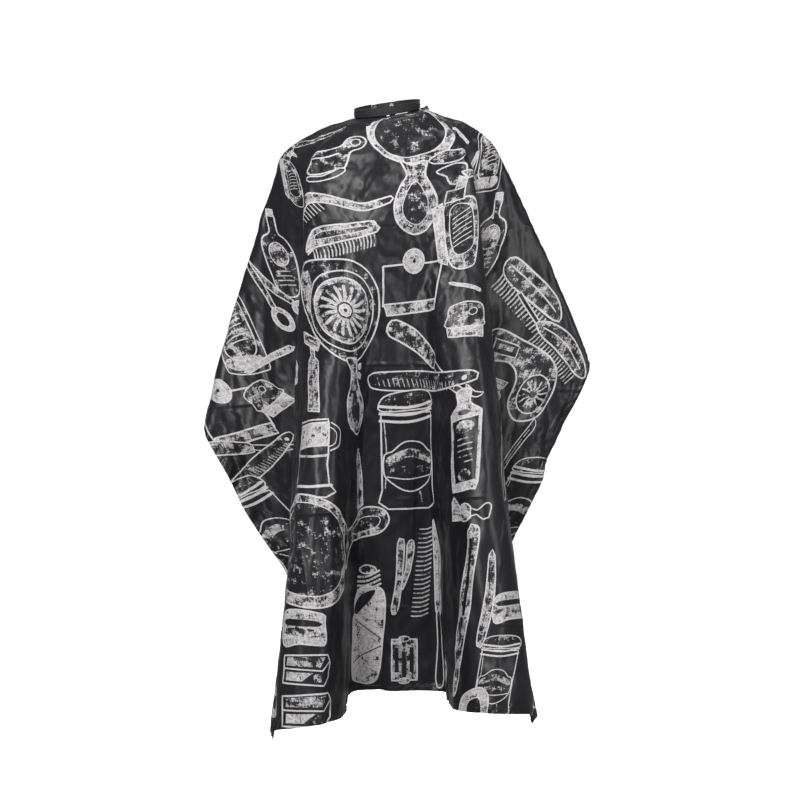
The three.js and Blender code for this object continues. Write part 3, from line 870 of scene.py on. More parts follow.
# Where each motif is printed: across, down, turn in degrees, size.
LAYOUT = [
    (razor_on_strut, -6, 268, 0, 1), (hand_mirror, 34, 370, 0, 0.95), (ringed_clamp, -86, 300, 0, 0.8),
    (tail_comb, -114, 408, 10, 1), (clothes_brush, -106, 450, -8, 1), (bowed_bottle, 123, 448, -10, 0.92),
    (framed_rosette, 42, 552, 2, 1.04), (rosette_mirror, -120, 608, 0, 1.06), (quill, 160, 567, 50, 0.65),
    (nail_block, 172, 638, -5, 0.88), (safety_razor, -203, 714, 10, 0.9), (straight_razor, 102, 712, 2, 1.06),
    (screw_jar, 26, 884, 0, 0.98), (slim_bottle, 206, 870, -9, 0.95), (shaving_mug, -246, 880, 13, 0.95),
    (tube, -88, 938, -5, 0.95), (shaving_brush, 232, 1010, -6, 0.95), (lying_mirror, -232, 1036, 7, 0.97),
    (tweezers, 10, 1146, 2, 0.95), (hair_brush, 74, 1206, 1, 1.1), (long_comb, 254, 1196, -5, 0.95),
    (nail_file, 298, 1174, -14, 0.95), (banded_bottle, -68, 1244, 2, 1.02), (blade_pack, 12, 1320, 0, 1),
    (screw_jar, 340, 1314, 2, 0.6), (soap_block, -329, 1203, 12, 0.95), (open_box, -338, 1281, 12, 1),
    (open_box, -350, 1357, 10, 1.08), (powder_puff, 304, 1374, -10, 1), (soap_block, 354, 1186, -4, 0.75),
    # beside and behind the front
    (long_comb, -152, 232, 58, 0.44), (bowed_bottle, -206, 316, 10, 0.5), (quill, 160, 249, 85, 0.5),
    (label_flask, 236, 302, -4, 0.7), (round_bottle, -292, 453, 8, 0.88), (scissors, -348, 487, -4, 0.95),
    (label_flask, -442, 585, 0, 0.88), (quill, -402, 636, 8, 1.1), (framed_rosette, -512, 733, -6, 0.95),
    (nail_block, -436, 708, -38, 0.78), (straight_razor, -506, 796, -32, 0.72),
    (screw_jar, -548, 940, -14, 0.74), (powder_puff, -300, 700, 0, 0.7),
    (round_bottle, 286, 445, -5, 0.88), (fan_comb, 411, 532, 14, 1.05),
    (handled_brush, 485, 609, 10, 0.86), (dryer, 471, 667, -12, 0.88), (powder_puff, 380, 712, 10, 0.7),
    (safety_razor, 430, 736, 0, 0.5), (curved_grip, 508, 812, -4, 0.62), (screw_jar, 552, 922, 4, 0.72),
    (nail_file, 400, 1000, 0, 0.9), (curved_grip, 330, 900, -10, 1),
    # the back
    (shaving_brush, -300, 150, 30, 0.85), (fan_comb, -420, 110, -20, 0.9), (round_bottle, -500, 250, 10, 0.9),
    (quill, -410, 330, -50, 0.8), (scissors, -500, 420, -10, 0.85), (nail_block, -520, 90, 60, 0.9),
    (tweezers, 300, 130, -30, 0.8), (shaving_mug, 400, 110, 12, 0.85), (label_flask, 510, 120, 8, 0.9),
    (scissors, 400, 280, 25, 0.95), (powder_puff, 520, 300, 0, 0.9), (safety_razor, 500, 420, -20, 0.8),
    # low at the sides
    (label_flask, 462, 1080, 0, 0.9), (round_bottle, 530, 1200, 10, 0.9), (shaving_mug, 480, 1318, 0, 0.8),
    (scissors, -460, 1110, 0, 0.9), (label_flask, -520, 1240, 0, 0.8), (powder_puff, -450, 1330, 0, 0.8),
]
REPEAT = 0.6
PRINT_GAP = 0.006
BARE_NECK = 0.009


def print_on_cut():
    """Every outline of the print with its tone, metres on the flat cut, with the repeats to either side."""
    copies = [(shift, *place) for shift in (0, -REPEAT, REPEAT) for place in LAYOUT]
    taken, outlines = [], []
    for shift, motif, across, down, turn, size in copies:
        parts = [(moved(line, across, down, turn, size) / 1000 + (shift, 0), tone) for line, tone in motif()]
        everything = np.concatenate([line for line, _ in parts])
        low, high = everything.min(0), everything.max(0)
        if low[0] > PANEL_WIDTH / 2 or high[0] < -PANEL_WIDTH / 2:
            continue
        if shift and any((low < b - PRINT_GAP).all() and (high > a + PRINT_GAP).all() for a, b in taken):
            continue
        taken.append((low, high))
        outlines += parts
    return outlines


def cut_outline(step=0.006):
    """The cut's edge: both sides, the hem, the back edges and the half-round notch, as flat points."""
    w, n = PANEL_WIDTH / 2, round(math.pi * NOTCH_RADIUS / 0.004)
    corners = [(w, 0), (w, PANEL_LENGTH), (-w, PANEL_LENGTH), (-w, 0), (-NOTCH_RADIUS, 0)]
    line = []
    for a, b in zip(corners, corners[1:]):
        count = round(math.dist(a, b) / step)
        line += [(a[0] + (b[0] - a[0]) * k / count, a[1] + (b[1] - a[1]) * k / count) for k in range(count)]
    turns = [-math.pi / 2 + math.pi * k / n for k in range(n + 1)]
    line += [(NOTCH_RADIUS * math.sin(t), max(NOTCH_RADIUS * math.cos(t), 0)) for t in turns]
    count = round((w - NOTCH_RADIUS) / step)
    line += [(NOTCH_RADIUS + (w - NOTCH_RADIUS) * k / count, 0) for k in range(1, count)]
    return np.array(line)


def lattice(spacing, neck_rings, hem_rows):
    """Points inside the cut: an even lattice, finer round the neck and along the hem."""
    w = PANEL_WIDTH / 2
    u, v = np.meshgrid(np.arange(-w + spacing / 2, w, spacing), np.arange(spacing / 2, PANEL_LENGTH, spacing))
    u = u + (np.arange(len(u)) % 2)[:, None] * spacing / 2 - spacing / 4
    points = np.stack([u.ravel(), v.ravel()], 1)
    far = NOTCH_RADIUS + neck_rings[-1] + spacing / 2
    inside = edge_gap(*points.T) > hem_rows[-1] + spacing / 2
    points = points[(np.hypot(*points.T) > far) & inside]
    sets = [points]
    turns = np.linspace(-math.pi / 2, math.pi / 2, 206)[1:-1]
    for ring in neck_rings:
        r = NOTCH_RADIUS + ring
        sets.append(np.stack([r * np.sin(turns), r * np.cos(turns)], 1))
    for row in hem_rows:
        across = np.arange(-w + row, w - row, 0.006)
        down = np.arange(row, PANEL_LENGTH - row, 0.006)
        sets += [np.stack([across, np.full(len(across), PANEL_LENGTH - row)], 1),
                 np.stack([across, np.full(len(across), row)], 1)]
        sets += [np.stack([np.full(len(down), side * (w - row)), down], 1) for side in (-1, 1)]
    points = np.concatenate(sets)
    keep = (np.hypot(*points.T) > NOTCH_RADIUS + 0.002) & (edge_gap(*points.T) > 0.001)
    return points[keep]


def covers(outline, points):
    """Which points a closed outline runs round."""
    rounds = np.zeros(len(points), int)
    u, v = points.T
    for (ua, va), (ub, vb) in zip(outline, np.roll(outline, -1, 0)):
        crossed = (va > v) != (vb > v)
        left = u < ua + (v - va) * (ub - ua) / (vb - va + 1e-15)
        rounds += (crossed & left) * (1 if vb > va else -1)
    return rounds != 0


def cut_mesh(points, outlines):
    """Triangles of the cut that follow every outline, with the tone of the topmost outline over each."""
    shapes = [cut_outline()] + [line for line, _ in outlines]
    flat = np.concatenate(shapes + [points])
    edges, start = [], 0
    for shape in shapes:
        count = len(shape)
        edges += [(start + k, start + (k + 1) % count) for k in range(count)]
        start += count
    found = geometry.delaunay_2d_cdt([Vector(p) for p in flat.tolist()], edges, [], 0, 1e-6, False)
    places, triangles = np.array([tuple(p) for p in found[0]]), np.array(found[2])
    middles = places[triangles].mean(1)
    on_cut = (edge_gap(*middles.T) > 0) & covers(shapes[0], middles)
    triangles, middles = triangles[on_cut], middles[on_cut]
    order = np.argsort(middles[:, 1])
    heights = middles[order, 1]
    tones = np.zeros(len(triangles))
    for line, tone in outlines:
        rows = order[np.searchsorted(heights, line[:, 1].min()):np.searchsorted(heights, line[:, 1].max())]
        rows = rows[(middles[rows, 0] > line[:, 0].min()) & (middles[rows, 0] < line[:, 0].max())]
        tones[rows[covers(line, middles[rows])]] = tone
    tones[np.hypot(*middles.T) < NOTCH_RADIUS + BARE_NECK] = 0
    used, numbered = np.unique(triangles, return_inverse=True)
    return places[used], numbered.reshape(-1, 3), tones


# ---- materials --------------------------------------------------------------------------------
class Finish:
    """One material and the short calls that build its nodes."""

    def __init__(self, name, roughness=0.5, specular=0.5, sheen=0.0):
        self.material = bpy.data.materials.new(name)
        self.material.use_nodes = True
        self.tree = self.material.node_tree
        self.shader = self.tree.nodes["Principled BSDF"]
        self.set("Roughness", roughness)
        self.set("Specular IOR Level", specular)
        self.set("Sheen Weight", sheen)
        self.set("Sheen Roughness", 0.4)

    def set(self, name, value):
        self._feed(self.shader.inputs[name], value)

    def _feed(self, socket, value):
        if isinstance(value, bpy.types.NodeSocket):
            self.tree.links.new(value, socket)
        else:
            socket.default_value = value

    def node(self, kind, inputs, output=0, **settings):
        made = self.tree.nodes.new("ShaderNode" + kind)
        for key, value in settings.items():
            setattr(made, key, value)
        for key, value in inputs.items():
            self._feed(made.inputs[key], value)
        return made.outputs[output]

    def math(self, operation, *values):
        return self.node("Math", dict(enumerate(values)), operation=operation)

    def add(self, a, b):
        return self.math("ADD", a, b)

    def times(self, a, b, plus=0.0):
        return self.math("MULTIPLY_ADD", a, b, plus)

    def rise(self, value, low, high, smooth=True):
        """0 below low, 1 above high."""
        kind = "SMOOTHSTEP" if smooth else "LINEAR"
        inputs = {"Value": value, "From Min": low, "From Max": high}
        return self.node("MapRange", inputs, interpolation_type=kind)

    def stretch(self, vector, x, y, z=1.0):
        return self.node("VectorMath", {0: vector, 1: (x, y, z)}, operation="MULTIPLY")

    def noise(self, vector, scale=1.0, detail=2.0, roughness=0.5):
        inputs = {"Vector": vector, "Scale": scale, "Detail": detail, "Roughness": roughness}
        return self.node("TexNoise", inputs)

    def parts(self, vector):
        made = self.tree.nodes.new("ShaderNodeSeparateXYZ")
        self._feed(made.inputs[0], vector)
        return made.outputs

    def mix(self, share, a, b):
        return self.node("Mix", {0: share, 6: a, 7: b}, output=2, data_type="RGBA")

    def weave(self, x, y, pitch_x, pitch_y):
        """Crossing threads, 0 to 1."""
        across = self.math("SINE", self.times(x, math.tau / pitch_x))
        down = self.math("SINE", self.times(y, math.tau / pitch_y))
        return self.times(self.times(across, down), 0.5, 0.5)

    def bump(self, *layers):
        """Heights from 0 to 1 with their depths in metres, one bump on another."""
        normal = None
        for height, depth in layers:
            inputs = {"Height": height, "Strength": 1.0, "Distance": depth}
            if normal is not None:
                inputs["Normal"] = normal
            normal = self.node("Bump", inputs)
        self.set("Normal", normal)


SATIN_DARK = (0.0055, 0.0055, 0.0068, 1)
SATIN_LIGHT = (0.0115, 0.0115, 0.0135, 1)
PRINT_PALE = (0.57, 0.55, 0.56, 1)
PRINT_GREY = (0.3, 0.29, 0.3, 1)


def scratched_print(f, flat, tone):
    """Share of printed ink: whole on lines, broken into strokes and specks where the tone is lower."""
    strokes_across = f.times(f.noise(f.stretch(flat, 300, 90), detail=3, roughness=0.62), 0.36)
    strokes_down = f.times(f.noise(f.stretch(flat, 110, 330), detail=3, roughness=0.62), 0.3)
    specks = f.times(f.noise(flat, 420), 0.18)
    patches = f.times(f.noise(flat, 52), 0.56, -0.13)
    field = f.add(f.add(strokes_across, strokes_down), f.add(specks, patches))
    needed = f.add(f.times(tone, -0.34, 0.75), f.times(f.rise(tone, 0.9, 0.98), -0.3))
    ink = f.times(f.rise(f.math("SUBTRACT", field, needed), -0.035, 0.045), f.rise(tone, 0.05, 0.15))
    wear = f.rise(f.noise(flat, 620, 3, 0.7), 0.36, 0.6)
    return f.times(ink, f.times(wear, 0.55, 0.45))


def packing_creases(f, u, v, flat):
    """Ridges left by folding, broken along their length."""
    ridges = 0.0
    for along, other, places in ((v, u, PACKING_FOLDS_V), (u, v, PACKING_FOLDS_U)):
        for place in places:
            sway = f.times(f.math("SINE", f.times(other, 8.0, place * 35)), 0.005, place)
            away = f.math("ABSOLUTE", f.math("SUBTRACT", along, sway))
            ridges = f.math("MAXIMUM", ridges, f.rise(away, 0.006, 0.0, smooth=False))
    return f.times(ridges, f.rise(f.noise(flat, 9, 1), 0.38, 0.6))


def printed_satin():
    f = Finish("printed_satin", specular=0.25, sheen=0.02)
    cut = f.node("Attribute", {}, output=1, attribute_name="cut")
    tone = f.node("Attribute", {}, output=2, attribute_name="tone")
    u, v, gap = f.parts(cut)
    flat = f.node("CombineXYZ", {0: u, 1: v})
    ink = scratched_print(f, flat, tone)
    slow = f.noise(flat, 7)
    slubs = f.noise(f.stretch(flat, 900, 30))
    shade = f.rise(f.add(f.times(slow, 0.6), f.times(slubs, 0.4)), 0.3, 0.7)
    pale = f.mix(f.rise(f.noise(flat, 160, 3), 0.35, 0.65), PRINT_GREY, PRINT_PALE)
    pale = f.mix(f.rise(tone, 0.7, 0.95), pale, PRINT_PALE)
    f.set("Base Color", f.mix(ink, f.mix(shade, SATIN_DARK, SATIN_LIGHT), pale))
    f.set("Roughness", f.add(f.times(ink, 0.2, 0.33), f.times(slow, 0.08)))
    hem_seam = f.math("ABSOLUTE", f.math("SUBTRACT", gap, HEM_WIDTH - 0.002))
    f.bump(
        (f.weave(u, v, 0.0011, 0.0011), 0.00003),
        (f.noise(f.stretch(flat, 20, 8), detail=3, roughness=0.5), 0.0014),
        (f.noise(f.stretch(flat, 70, 48), detail=3), 0.0005),
        (packing_creases(f, u, v, flat), 0.0011),
        (f.rise(hem_seam, 0.0, 0.0014), 0.0005),
        (ink, 0.00006),
    )
    return f.material


def position(f):
    """The point in the part's own frame, metres."""
    return f.node("TexCoord", {}, output=3)


def band_cloth():
    """The same satin, gathered tight: thread ribs and fine puckers over the modelled ruching."""
    f = Finish("band_cloth", specular=0.25, sheen=0.04)
    place = position(f)
    x, y, z = f.parts(place)
    shade = f.rise(f.noise(place, 260, 3, 0.6), 0.3, 0.7)
    f.set("Base Color", f.mix(shade, (0.005, 0.0055, 0.0065, 1), (0.013, 0.0135, 0.016, 1)))
    f.set("Roughness", f.times(shade, 0.12, 0.5))
    f.bump(
        (f.weave(f.add(x, y), z, 0.0009, 0.0009), 0.00004),
        (f.noise(f.stretch(place, 900, 900, 160), detail=3), 0.0005),
    )
    return f.material


def thread():
    f = Finish("thread", roughness=0.6, specular=0.3, sheen=0.2)
    place = position(f)
    twist = f.noise(f.stretch(place, 2600, 2600, 5200), detail=2)
    f.set("Base Color", f.mix(twist, (0.012, 0.012, 0.013, 1), (0.05, 0.05, 0.054, 1)))
    f.bump((twist, 0.00012))
    return f.material


def elastic_knit():
    """Braided rubber-cored tape."""
    f = Finish("elastic_knit", roughness=0.78, specular=0.25, sheen=0.15)
    place = position(f)
    x, y, z = f.parts(place)
    braid = f.weave(f.add(x, z), f.math("SUBTRACT", y, z), 0.0016, 0.0016)
    f.set("Base Color", f.mix(braid, (0.008, 0.008, 0.009, 1), (0.026, 0.026, 0.028, 1)))
    f.bump((braid, 0.00025), (f.noise(place, 1800), 0.0001))
    return f.material


def snap_plastic():
    """Moulded black resin with a fine satin grain and rubbed high spots."""
    f = Finish("snap_plastic", specular=0.5)
    place = position(f)
    grain = f.noise(place, 2400, 3)
    rubbed = f.rise(f.noise(place, 420, 3), 0.45, 0.7)
    f.set("Base Color", f.mix(rubbed, (0.006, 0.006, 0.007, 1), (0.014, 0.014, 0.016, 1)))
    f.set("Roughness", f.times(rubbed, 0.2, 0.26))
    f.bump((grain, 0.00003), (rubbed, 0.00002))
    return f.material


def label_tape():
    """Blank woven tape."""
    f = Finish("label_tape", roughness=0.7, specular=0.35, sheen=0.25)
    place = position(f)
    x, y, z = f.parts(place)
    threads = f.weave(x, z, 0.0007, 0.0005)
    shade = f.add(f.times(threads, 0.4), f.times(f.noise(place, 180), 0.6))
    f.set("Base Color", f.mix(shade, (0.6, 0.59, 0.56, 1), (0.8, 0.79, 0.76, 1)))
    f.bump((threads, 0.00012), (f.noise(place, 240, 3), 0.0004))
    return f.material


# ---- pieces -----------------------------------------------------------------------------------
def finish_piece(obj, material, normals=None):
    obj.data.materials.append(material)
    obj.data.polygons.foreach_set("use_smooth", np.ones(len(obj.data.polygons), bool))
    if normals is not None:
        obj.data.normals_split_custom_set_from_vertices(normals.tolist())
    return obj


def joined(*sheets):
    """Points, faces and normals of several patches as one."""
    points, faces, normals, start = [], [], [], 0
    for places, patch, sides in sheets:
        points.append(places)
        normals.append(sides)
        faces += [tuple(k + start for k in face) for face in patch]
        start += len(places)
    return np.concatenate(points), faces, np.concatenate(normals)


def vertex_data(obj, name, kind, values):
    """Stores one value or vector for each vertex or face."""
    domain = "FACE" if len(values) == len(obj.data.polygons) else "POINT"
    layer = obj.data.attributes.new(name, kind, domain)
    key = "vector" if kind == "FLOAT_VECTOR" else "value"
    layer.data.foreach_set(key, np.asarray(values, np.float32).ravel())


CLOTH_THICKNESS = 0.0005
NECK_RINGS = [0.0035, 0.007, 0.011, 0.015, 0.02, 0.026, 0.033, 0.041, 0.05]
HEM_ROWS = [0.003, 0.006, 0.009, 0.0112, 0.0132, 0.017, 0.022, 0.029]
CLOTH_SPACING = 0.0095


def outward(triangles, places, normals):
    """Triangles turned so that they face along the normals."""
    a, b, c = (places[triangles[:, k]] for k in range(3))
    wrong = (np.cross(b - a, c - a) * normals[triangles].sum(1)).sum(1) < 0
    triangles[wrong] = triangles[wrong][:, ::-1]
    return triangles


def hem_turning():
    """The hem's fold round the cut edge and its flap on the inside, as rows along the edge."""
    line = cut_outline(0.005)
    line = line[(np.hypot(*line.T) > NOTCH_RADIUS + 0.001)]
    first = int(np.argmax(np.linalg.norm(line - np.roll(line, 1, 0), axis=1)))
    line = np.roll(line, -first, 0)
    w = PANEL_WIDTH / 2
    inner = np.stack([np.clip(line[:, 0], HEM_WIDTH - w, w - HEM_WIDTH),
                      np.clip(line[:, 1], HEM_WIDTH, PANEL_LENGTH - HEM_WIDTH)], 1)
    rows = [(line, 0.0, 1), (line, -CLOTH_THICKNESS, 0), (line, -2 * CLOTH_THICKNESS, -1),
            (inner, -2 * CLOTH_THICKNESS, -1), (inner, -CLOTH_THICKNESS, -1)]
    places, normals = [], []
    flats = []
    for flat, lift, side in rows:
        at, normal = cape_surface(*flat.T, lift)
        middle = np.array([0, 0.03, 0])
        away = at - middle
        away -= normal * (away * normal).sum(1, keepdims=True)
        places.append(at)
        normals.append(unit(away) if side == 0 else normal * side)
        flats.append(flat)
    faces = grid_faces(len(rows), len(line))
    return np.concatenate(places), faces, np.concatenate(normals), np.concatenate(flats)


def cape_panel():
    """Printed outer face, plain inner face and the turned hem, as one piece."""
    flat, triangles, tones = cut_mesh(lattice(CLOTH_SPACING, NECK_RINGS, HEM_ROWS), print_on_cut())
    outer, outer_normals = cape_surface(*flat.T)
    triangles = outward(triangles, outer, outer_normals)
    inner, inner_normals = cape_surface(*flat.T, -CLOTH_THICKNESS)
    hem, hem_faces, hem_normals, hem_flat = hem_turning()
    points, faces, normals = joined(
        (outer, triangles.tolist(), outer_normals),
        (inner, triangles[:, ::-1].tolist(), -inner_normals),
        (hem, hem_faces, hem_normals),
    )
    obj = finish_piece(mesh_object("cape_cloth", points, faces), printed_satin(), normals)
    everywhere = np.concatenate([flat, flat, hem_flat])
    vertex_data(obj, "cut", "FLOAT_VECTOR", np.column_stack([everywhere, edge_gap(*everywhere.T)]))
    vertex_data(obj, "tone", "FLOAT", np.concatenate([tones, np.zeros(len(faces) - len(tones))]))
    return obj


def stitch_row(places, along, out, length, width):
    """Raised thread stitches: each a six-cornered bar lying along the row."""
    side = unit(np.cross(along, out)) * width
    tip = along * length / 2
    high = out * width * 1.1
    corners = np.stack([places - tip, places - tip * 0.5 + side, places + tip * 0.5 + side,
                        places + tip, places + tip * 0.5 - side, places - tip * 0.5 - side,
                        places - tip * 0.45 + high, places + tip * 0.45 + high], 1)
    pattern = [(0, 6, 1), (1, 6, 7, 2), (2, 7, 3), (3, 7, 4), (4, 7, 6, 5), (5, 6, 0)]
    faces = [tuple(8 * n + k for k in face) for n in range(len(places)) for face in pattern]
    return corners.reshape(-1, 3), faces


def stitched(name, rows, body, length=0.0026, width=0.0002):
    """One object holding several rows of stitches, each row as points, their normals."""
    points, faces, start = [], [], 0
    for places, out in rows:
        along = unit(np.gradient(places, axis=0))
        corners, pattern = stitch_row(places, along, out, length, width)
        points.append(corners)
        faces += [tuple(k + start for k in face) for face in pattern]
        start += len(corners)
    obj = finish_piece(mesh_object(name, np.concatenate(points), faces), THREAD)
    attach(obj, body)
    return obj


STITCH_PITCH = 0.0036


def hem_stitches():
    """The line of stitching that holds the hem, on the sides and along the front edge."""
    w, inset = PANEL_WIDTH / 2 - HEM_WIDTH + 0.002, HEM_WIDTH - 0.002
    low = PANEL_LENGTH - inset
    corners = [(NOTCH_RADIUS + 0.01, inset), (w, inset), (w, low), (-w, low), (-w, inset),
               (-NOTCH_RADIUS - 0.01, inset)]
    rows = []
    for a, b in zip(corners, corners[1:]):
        count = round(math.dist(a, b) / STITCH_PITCH)
        share = (np.arange(count) + 0.5)[:, None] / count
        flat = np.array(a) + (np.array(b) - np.array(a)) * share
        rows.append(cape_surface(*flat.T, 0.00005))
    return stitched("hem_stitches", rows, "cape")


# Band, strap and tab sizes, metres and degrees of azimuth from the front, as on the CAD pieces.
BAND_INNER, BAND_OUTER = 0.0651, 0.0689
BAND_LOW, BAND_HIGH = 0.0003, 0.018
BAND_FROM, BAND_TO = -149, 164
BAND_STATIONS = 900
BAND_SECTION = 40
BAND_SEAMS = (0.0046, 0.0138)
RUCHE_PITCH = 0.0034
RUCHE_DEPTH = 0.0008
STRAP = (0.0639, 0.0651, 164.6, 210.6)
TAB = (0.0693, 0.0705, 159, 202)
STRAP_LOW, STRAP_HIGH = 0.001, 0.017


def ring_points(radius, azimuth, height):
    """Points round the neck, in metres; the ring plane is tipped forwards and to one side."""
    a = np.radians(azimuth)
    x, y = radius * np.sin(a), -radius * np.cos(a)
    return np.stack(np.broadcast_arrays(x, y, height + neck_shift(x, y)), -1)


def rounded_section(count, inner, outer, low, high):
    """Radius and height round a rounded-rectangle section, going up the outside."""
    t = np.arange(count) / count * math.tau - math.pi / 2
    c, s = np.cos(t), np.sin(t)
    radius = (inner + outer) / 2 + (outer - inner) / 2 * np.sign(c) * np.abs(c) ** 0.35
    height = (low + high) / 2 + (high - low) / 2 * np.sign(s) * np.abs(s) ** 0.75
    return radius, height


def neckband():
    """Casing gathered on the elastic: upright ruches pinched by two lines of stitching."""
    azimuth = np.linspace(BAND_FROM, BAND_TO, BAND_STATIONS)[:, None]
    radius, height = rounded_section(BAND_SECTION, BAND_INNER, BAND_OUTER, BAND_LOW, BAND_HIGH)
    outside = radius > (BAND_INNER + BAND_OUTER) / 2
    run = np.radians(azimuth) * NECK_RADIUS
    zone = np.searchsorted(BAND_SEAMS, height)
    ruche = np.abs(np.sin(uneven(run + zone * 0.0011 + height * 0.03, RUCHE_PITCH) / 2)) ** 0.8
    pinch = np.min([np.abs(height - seam) for seam in BAND_SEAMS], axis=0)
    swell = 1 - 0.75 * np.exp(-((pinch / 0.0011) ** 2))
    bulge = np.where(outside, 1, -0.45) * RUCHE_DEPTH * swell
    frill = np.where(height > 0.0165, 0.0005 * np.sin(uneven(run, RUCHE_PITCH * 1.3)), 0)
    points = ring_points(radius + bulge * ruche, azimuth, height + frill)
    rows, cols = azimuth.shape[0], BAND_SECTION
    faces = grid_faces(rows, cols, closed=True)
    faces += [tuple(range(cols)), tuple(reversed(range((rows - 1) * cols, rows * cols)))]
    obj = finish_piece(mesh_object("neckband", points.reshape(-1, 3), faces), BAND_CLOTH)
    face_out(obj)
    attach(obj, "cape")
    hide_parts("neckband_casing")
    return obj


def face_out(obj):
    bm = bmesh.new()
    bm.from_mesh(obj.data)
    bmesh.ops.recalc_face_normals(bm, faces=bm.faces)
    bm.to_mesh(obj.data)
    bm.free()


def band_stitches():
    azimuth = np.arange(BAND_FROM + 2, BAND_TO - 2, math.degrees(0.0031 / BAND_OUTER))
    rows = []
    for seam in BAND_SEAMS:
        places = ring_points(BAND_OUTER + 0.00035, azimuth, seam)
        out = unit(places * (1, 1, 0))
        rows.append((places, out))
    return stitched("band_stitches", rows, "cape", length=0.0024)


def cloth_strip(name, size, node, body, round_end=0.0):
    """A folded and pressed strip of cloth round the neck, its free end rounded."""
    inner, outer, start, end = size
    stations, section = 110, 36
    azimuth = np.linspace(start, end, stations)[:, None]
    left = np.radians(end - azimuth) * outer
    low, high = STRAP_LOW, STRAP_HIGH
    middle, half = (low + high) / 2, (high - low) / 2
    radius, height = rounded_section(section, inner, outer, low, high)
    corner = np.clip(1 - left / max(round_end, 1e-6), 0, 1)
    narrow = 1 - (1 - np.sqrt(1 - np.minimum(corner, 0.98) ** 2)) * (round_end / half)
    height = middle + (height - middle) * narrow
    puff = 1 - 0.5 * np.exp(-(((np.abs(height - middle) - half * narrow + 0.002) / 0.0005) ** 2))
    centre = (inner + outer) / 2
    radius = centre + (radius - centre) * puff
    points = ring_points(radius, azimuth, height)
    faces = grid_faces(stations, section, closed=True)
    last = (stations - 1) * section
    faces += [tuple(range(section)), tuple(reversed(range(last, last + section)))]
    obj = finish_piece(mesh_object(name, points.reshape(-1, 3), faces), BAND_CLOTH)
    face_out(obj)
    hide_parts(node)
    if body:
        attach(obj, body)
    return obj


def strip_stitches(name, size, outside, body):
    """Stitching along both long edges and across both ends of a strip."""
    inner, outer, start, end = size
    radius = outer + 0.00004 if outside else inner - 0.00004
    margin, inset = math.degrees(0.0028 / radius), 0.002
    step = math.degrees(0.003 / radius)
    azimuth = np.arange(start + margin, end - margin, step)
    rows = []
    for height in (STRAP_LOW + inset, STRAP_HIGH - inset):
        rows.append(ring_points(radius, azimuth, height))
    rise = np.arange(STRAP_LOW + inset, STRAP_HIGH - inset, 0.003)
    for across in (start + margin, end - margin):
        rows.append(ring_points(radius, across, rise))
    sign = 1 if outside else -1
    return stitched(name, [(row, sign * unit(row * (1, 1, 0))) for row in rows], body, length=0.0023)


LABEL_SIZE = (0.026, 0.0008, 0.038)
LABEL_CENTRE = (0.03, 0.05, -0.008)


def care_label():
    """A blank folded tape hanging from the seam inside the back neck."""
    across, down = np.meshgrid(np.linspace(-0.5, 0.5, 25), np.linspace(0.5, -0.5, 33))
    sides = []
    for side in (1, -1):
        curl = 0.0006 * np.cos(across * 5) * (0.5 - down) + 0.0003 * np.sin(down * 9)
        thick = side * LABEL_SIZE[1] * 0.35
        side_points = np.stack([across * LABEL_SIZE[0], curl + thick, down * LABEL_SIZE[2]], -1)
        sides.append(side_points.reshape(-1, 3))
    rows, cols = across.shape
    count = rows * cols
    front = grid_faces(rows, cols)
    back = [tuple(k + count for k in reversed(face)) for face in front]
    rim = list(range(cols)) + [r * cols + cols - 1 for r in range(1, rows)]
    rim += [count - 1 - k for k in range(1, cols)] + [r * cols for r in range(rows - 2, 0, -1)]
    edge = [(a, b, b + count, a + count) for a, b in zip(rim, rim[1:] + rim[:1])]
    points = np.concatenate(sides) + LABEL_CENTRE
    obj = finish_piece(mesh_object("blank_label", points, front + back + edge), label_tape())
    face_out(obj)
    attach(obj, "cape")
    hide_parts("care_label")
    return obj


BAND_CLOTH = band_cloth()
THREAD = thread()
cloth = cape_panel()
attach(cloth, "cape")
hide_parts("cape_panel")
hem = hem_stitches()
band = neckband()
band_stitches()
cloth_strip("fastening_strap", STRAP, "under_strap", "cape")
strip_stitches("strap_stitches", STRAP, False, "cape")
flap = cloth_strip("fastening_tab", TAB, "closure_tab", None, round_end=0.005)
TAB_BEND_END = ring_points(TAB[0], TAB[2] + 5.5, 0.009)
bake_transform(flap)
strip_stitches("tab_stitches", TAB, True, "closure_flap")
care_label()

for name, finish in (("elastic", elastic_knit()), ("snap_plastic", snap_plastic())):
    for obj in scene.objects:
        for holder in obj.material_slots:
            if obj.type == "MESH" and holder.material and holder.material.name.split(".")[0] == name:
                holder.material = finish


# ---- studio -----------------------------------------------------------------------------------
FLOOR_Z = -1.5
ROOM_RADIUS, ROOM_BEND, ROOM_WALL_Z, ROOM_SIDES = 6.5, 2.0, 1.5, 64
WORLD_LIGHT = 0.3
CAMERA_PLACE = (0.027, -3.2, -0.603)
VIEW_WIDTH = 1.68  # what the frame spans at the neck, metres
SENSOR = 36


def studio_white():
    f = Finish("studio_white", roughness=0.9, specular=0.1)
    f.set("Base Color", f.mix(f.noise(position(f), 3, 2), (0.9, 0.9, 0.9, 1), (0.93, 0.93, 0.93, 1)))
    f.set("Emission Color", (1, 1, 1, 1))
    f.set("Emission Strength", 0.68)
    return f.material


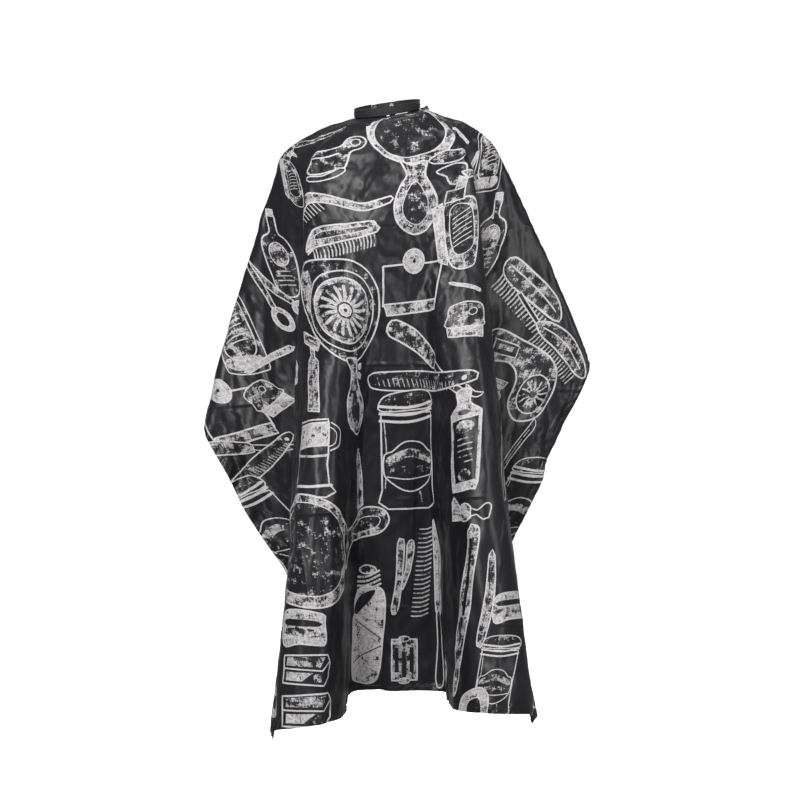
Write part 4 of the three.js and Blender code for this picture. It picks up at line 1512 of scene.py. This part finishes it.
def backdrop():
    """A pale round room: a floor that curves up into a wall and closes overhead. Only the camera sees it."""
    quarter = np.linspace(0, math.pi / 2, 16)
    foot = ROOM_RADIUS - ROOM_BEND + ROOM_BEND * np.sin(quarter)
    foot_z = FLOOR_Z + ROOM_BEND * (1 - np.cos(quarter))
    out = np.concatenate([[0.001], foot, ROOM_RADIUS * np.cos(quarter[1:]) + 0.001])
    up = np.concatenate([[FLOOR_Z], foot_z, ROOM_WALL_Z + ROOM_RADIUS * np.sin(quarter[1:])])
    turns = np.linspace(0, math.tau, ROOM_SIDES, endpoint=False)
    x, y = np.outer(out, np.cos(turns)), np.outer(out, np.sin(turns))
    points = np.stack([x, y, np.repeat(up[:, None], ROOM_SIDES, 1)], -1).reshape(-1, 3)
    faces = grid_faces(len(out), ROOM_SIDES, closed=True)
    obj = finish_piece(mesh_object("floor", points, faces), studio_white())
    obj.visible_glossy = obj.visible_diffuse = obj.visible_shadow = False


def softbox(name, place, target, power, width, height):
    light = bpy.data.lights.new(name, "AREA")
    light.shape, light.size, light.size_y, light.energy = "RECTANGLE", width, height, power
    obj = bpy.data.objects.new(name, light)
    obj.visible_camera = False
    scene.collection.objects.link(obj)
    obj.location = place
    obj.rotation_euler = (Vector(target) - Vector(place)).to_track_quat("-Z", "Y").to_euler()


def studio():
    backdrop()
    softbox("key", (-1.0, -2.8, 0.7), (0, 0, -0.65), 106, 0.8, 1.8)
    softbox("fill", (2.2, -2.3, 0.2), (0, 0, -0.7), 42, 0.5, 2.0)
    softbox("top", (0.2, -0.6, 2.4), (0, 0, -0.3), 40, 1.4, 1.0)
    softbox("back", (0.9, 2.9, 0.9), (0, 0.1, -0.5), 55, 1.0, 1.6)
    world = bpy.data.worlds.new("studio")
    scene.world = world
    world.use_nodes = True
    sky = world.node_tree.nodes["Background"]
    sky.inputs["Color"].default_value = (1, 1, 1, 1)
    sky.inputs["Strength"].default_value = WORLD_LIGHT


def camera():
    lens = bpy.data.cameras.new("camera")
    lens.sensor_width = SENSOR
    lens.lens = SENSOR * -CAMERA_PLACE[1] / VIEW_WIDTH
    obj = bpy.data.objects.new("camera", lens)
    scene.collection.objects.link(obj)
    obj.location = CAMERA_PLACE
    obj.rotation_euler = (math.pi / 2, 0, 0)
    scene.camera = obj


studio()
camera()
scene.view_settings.view_transform = "Standard"
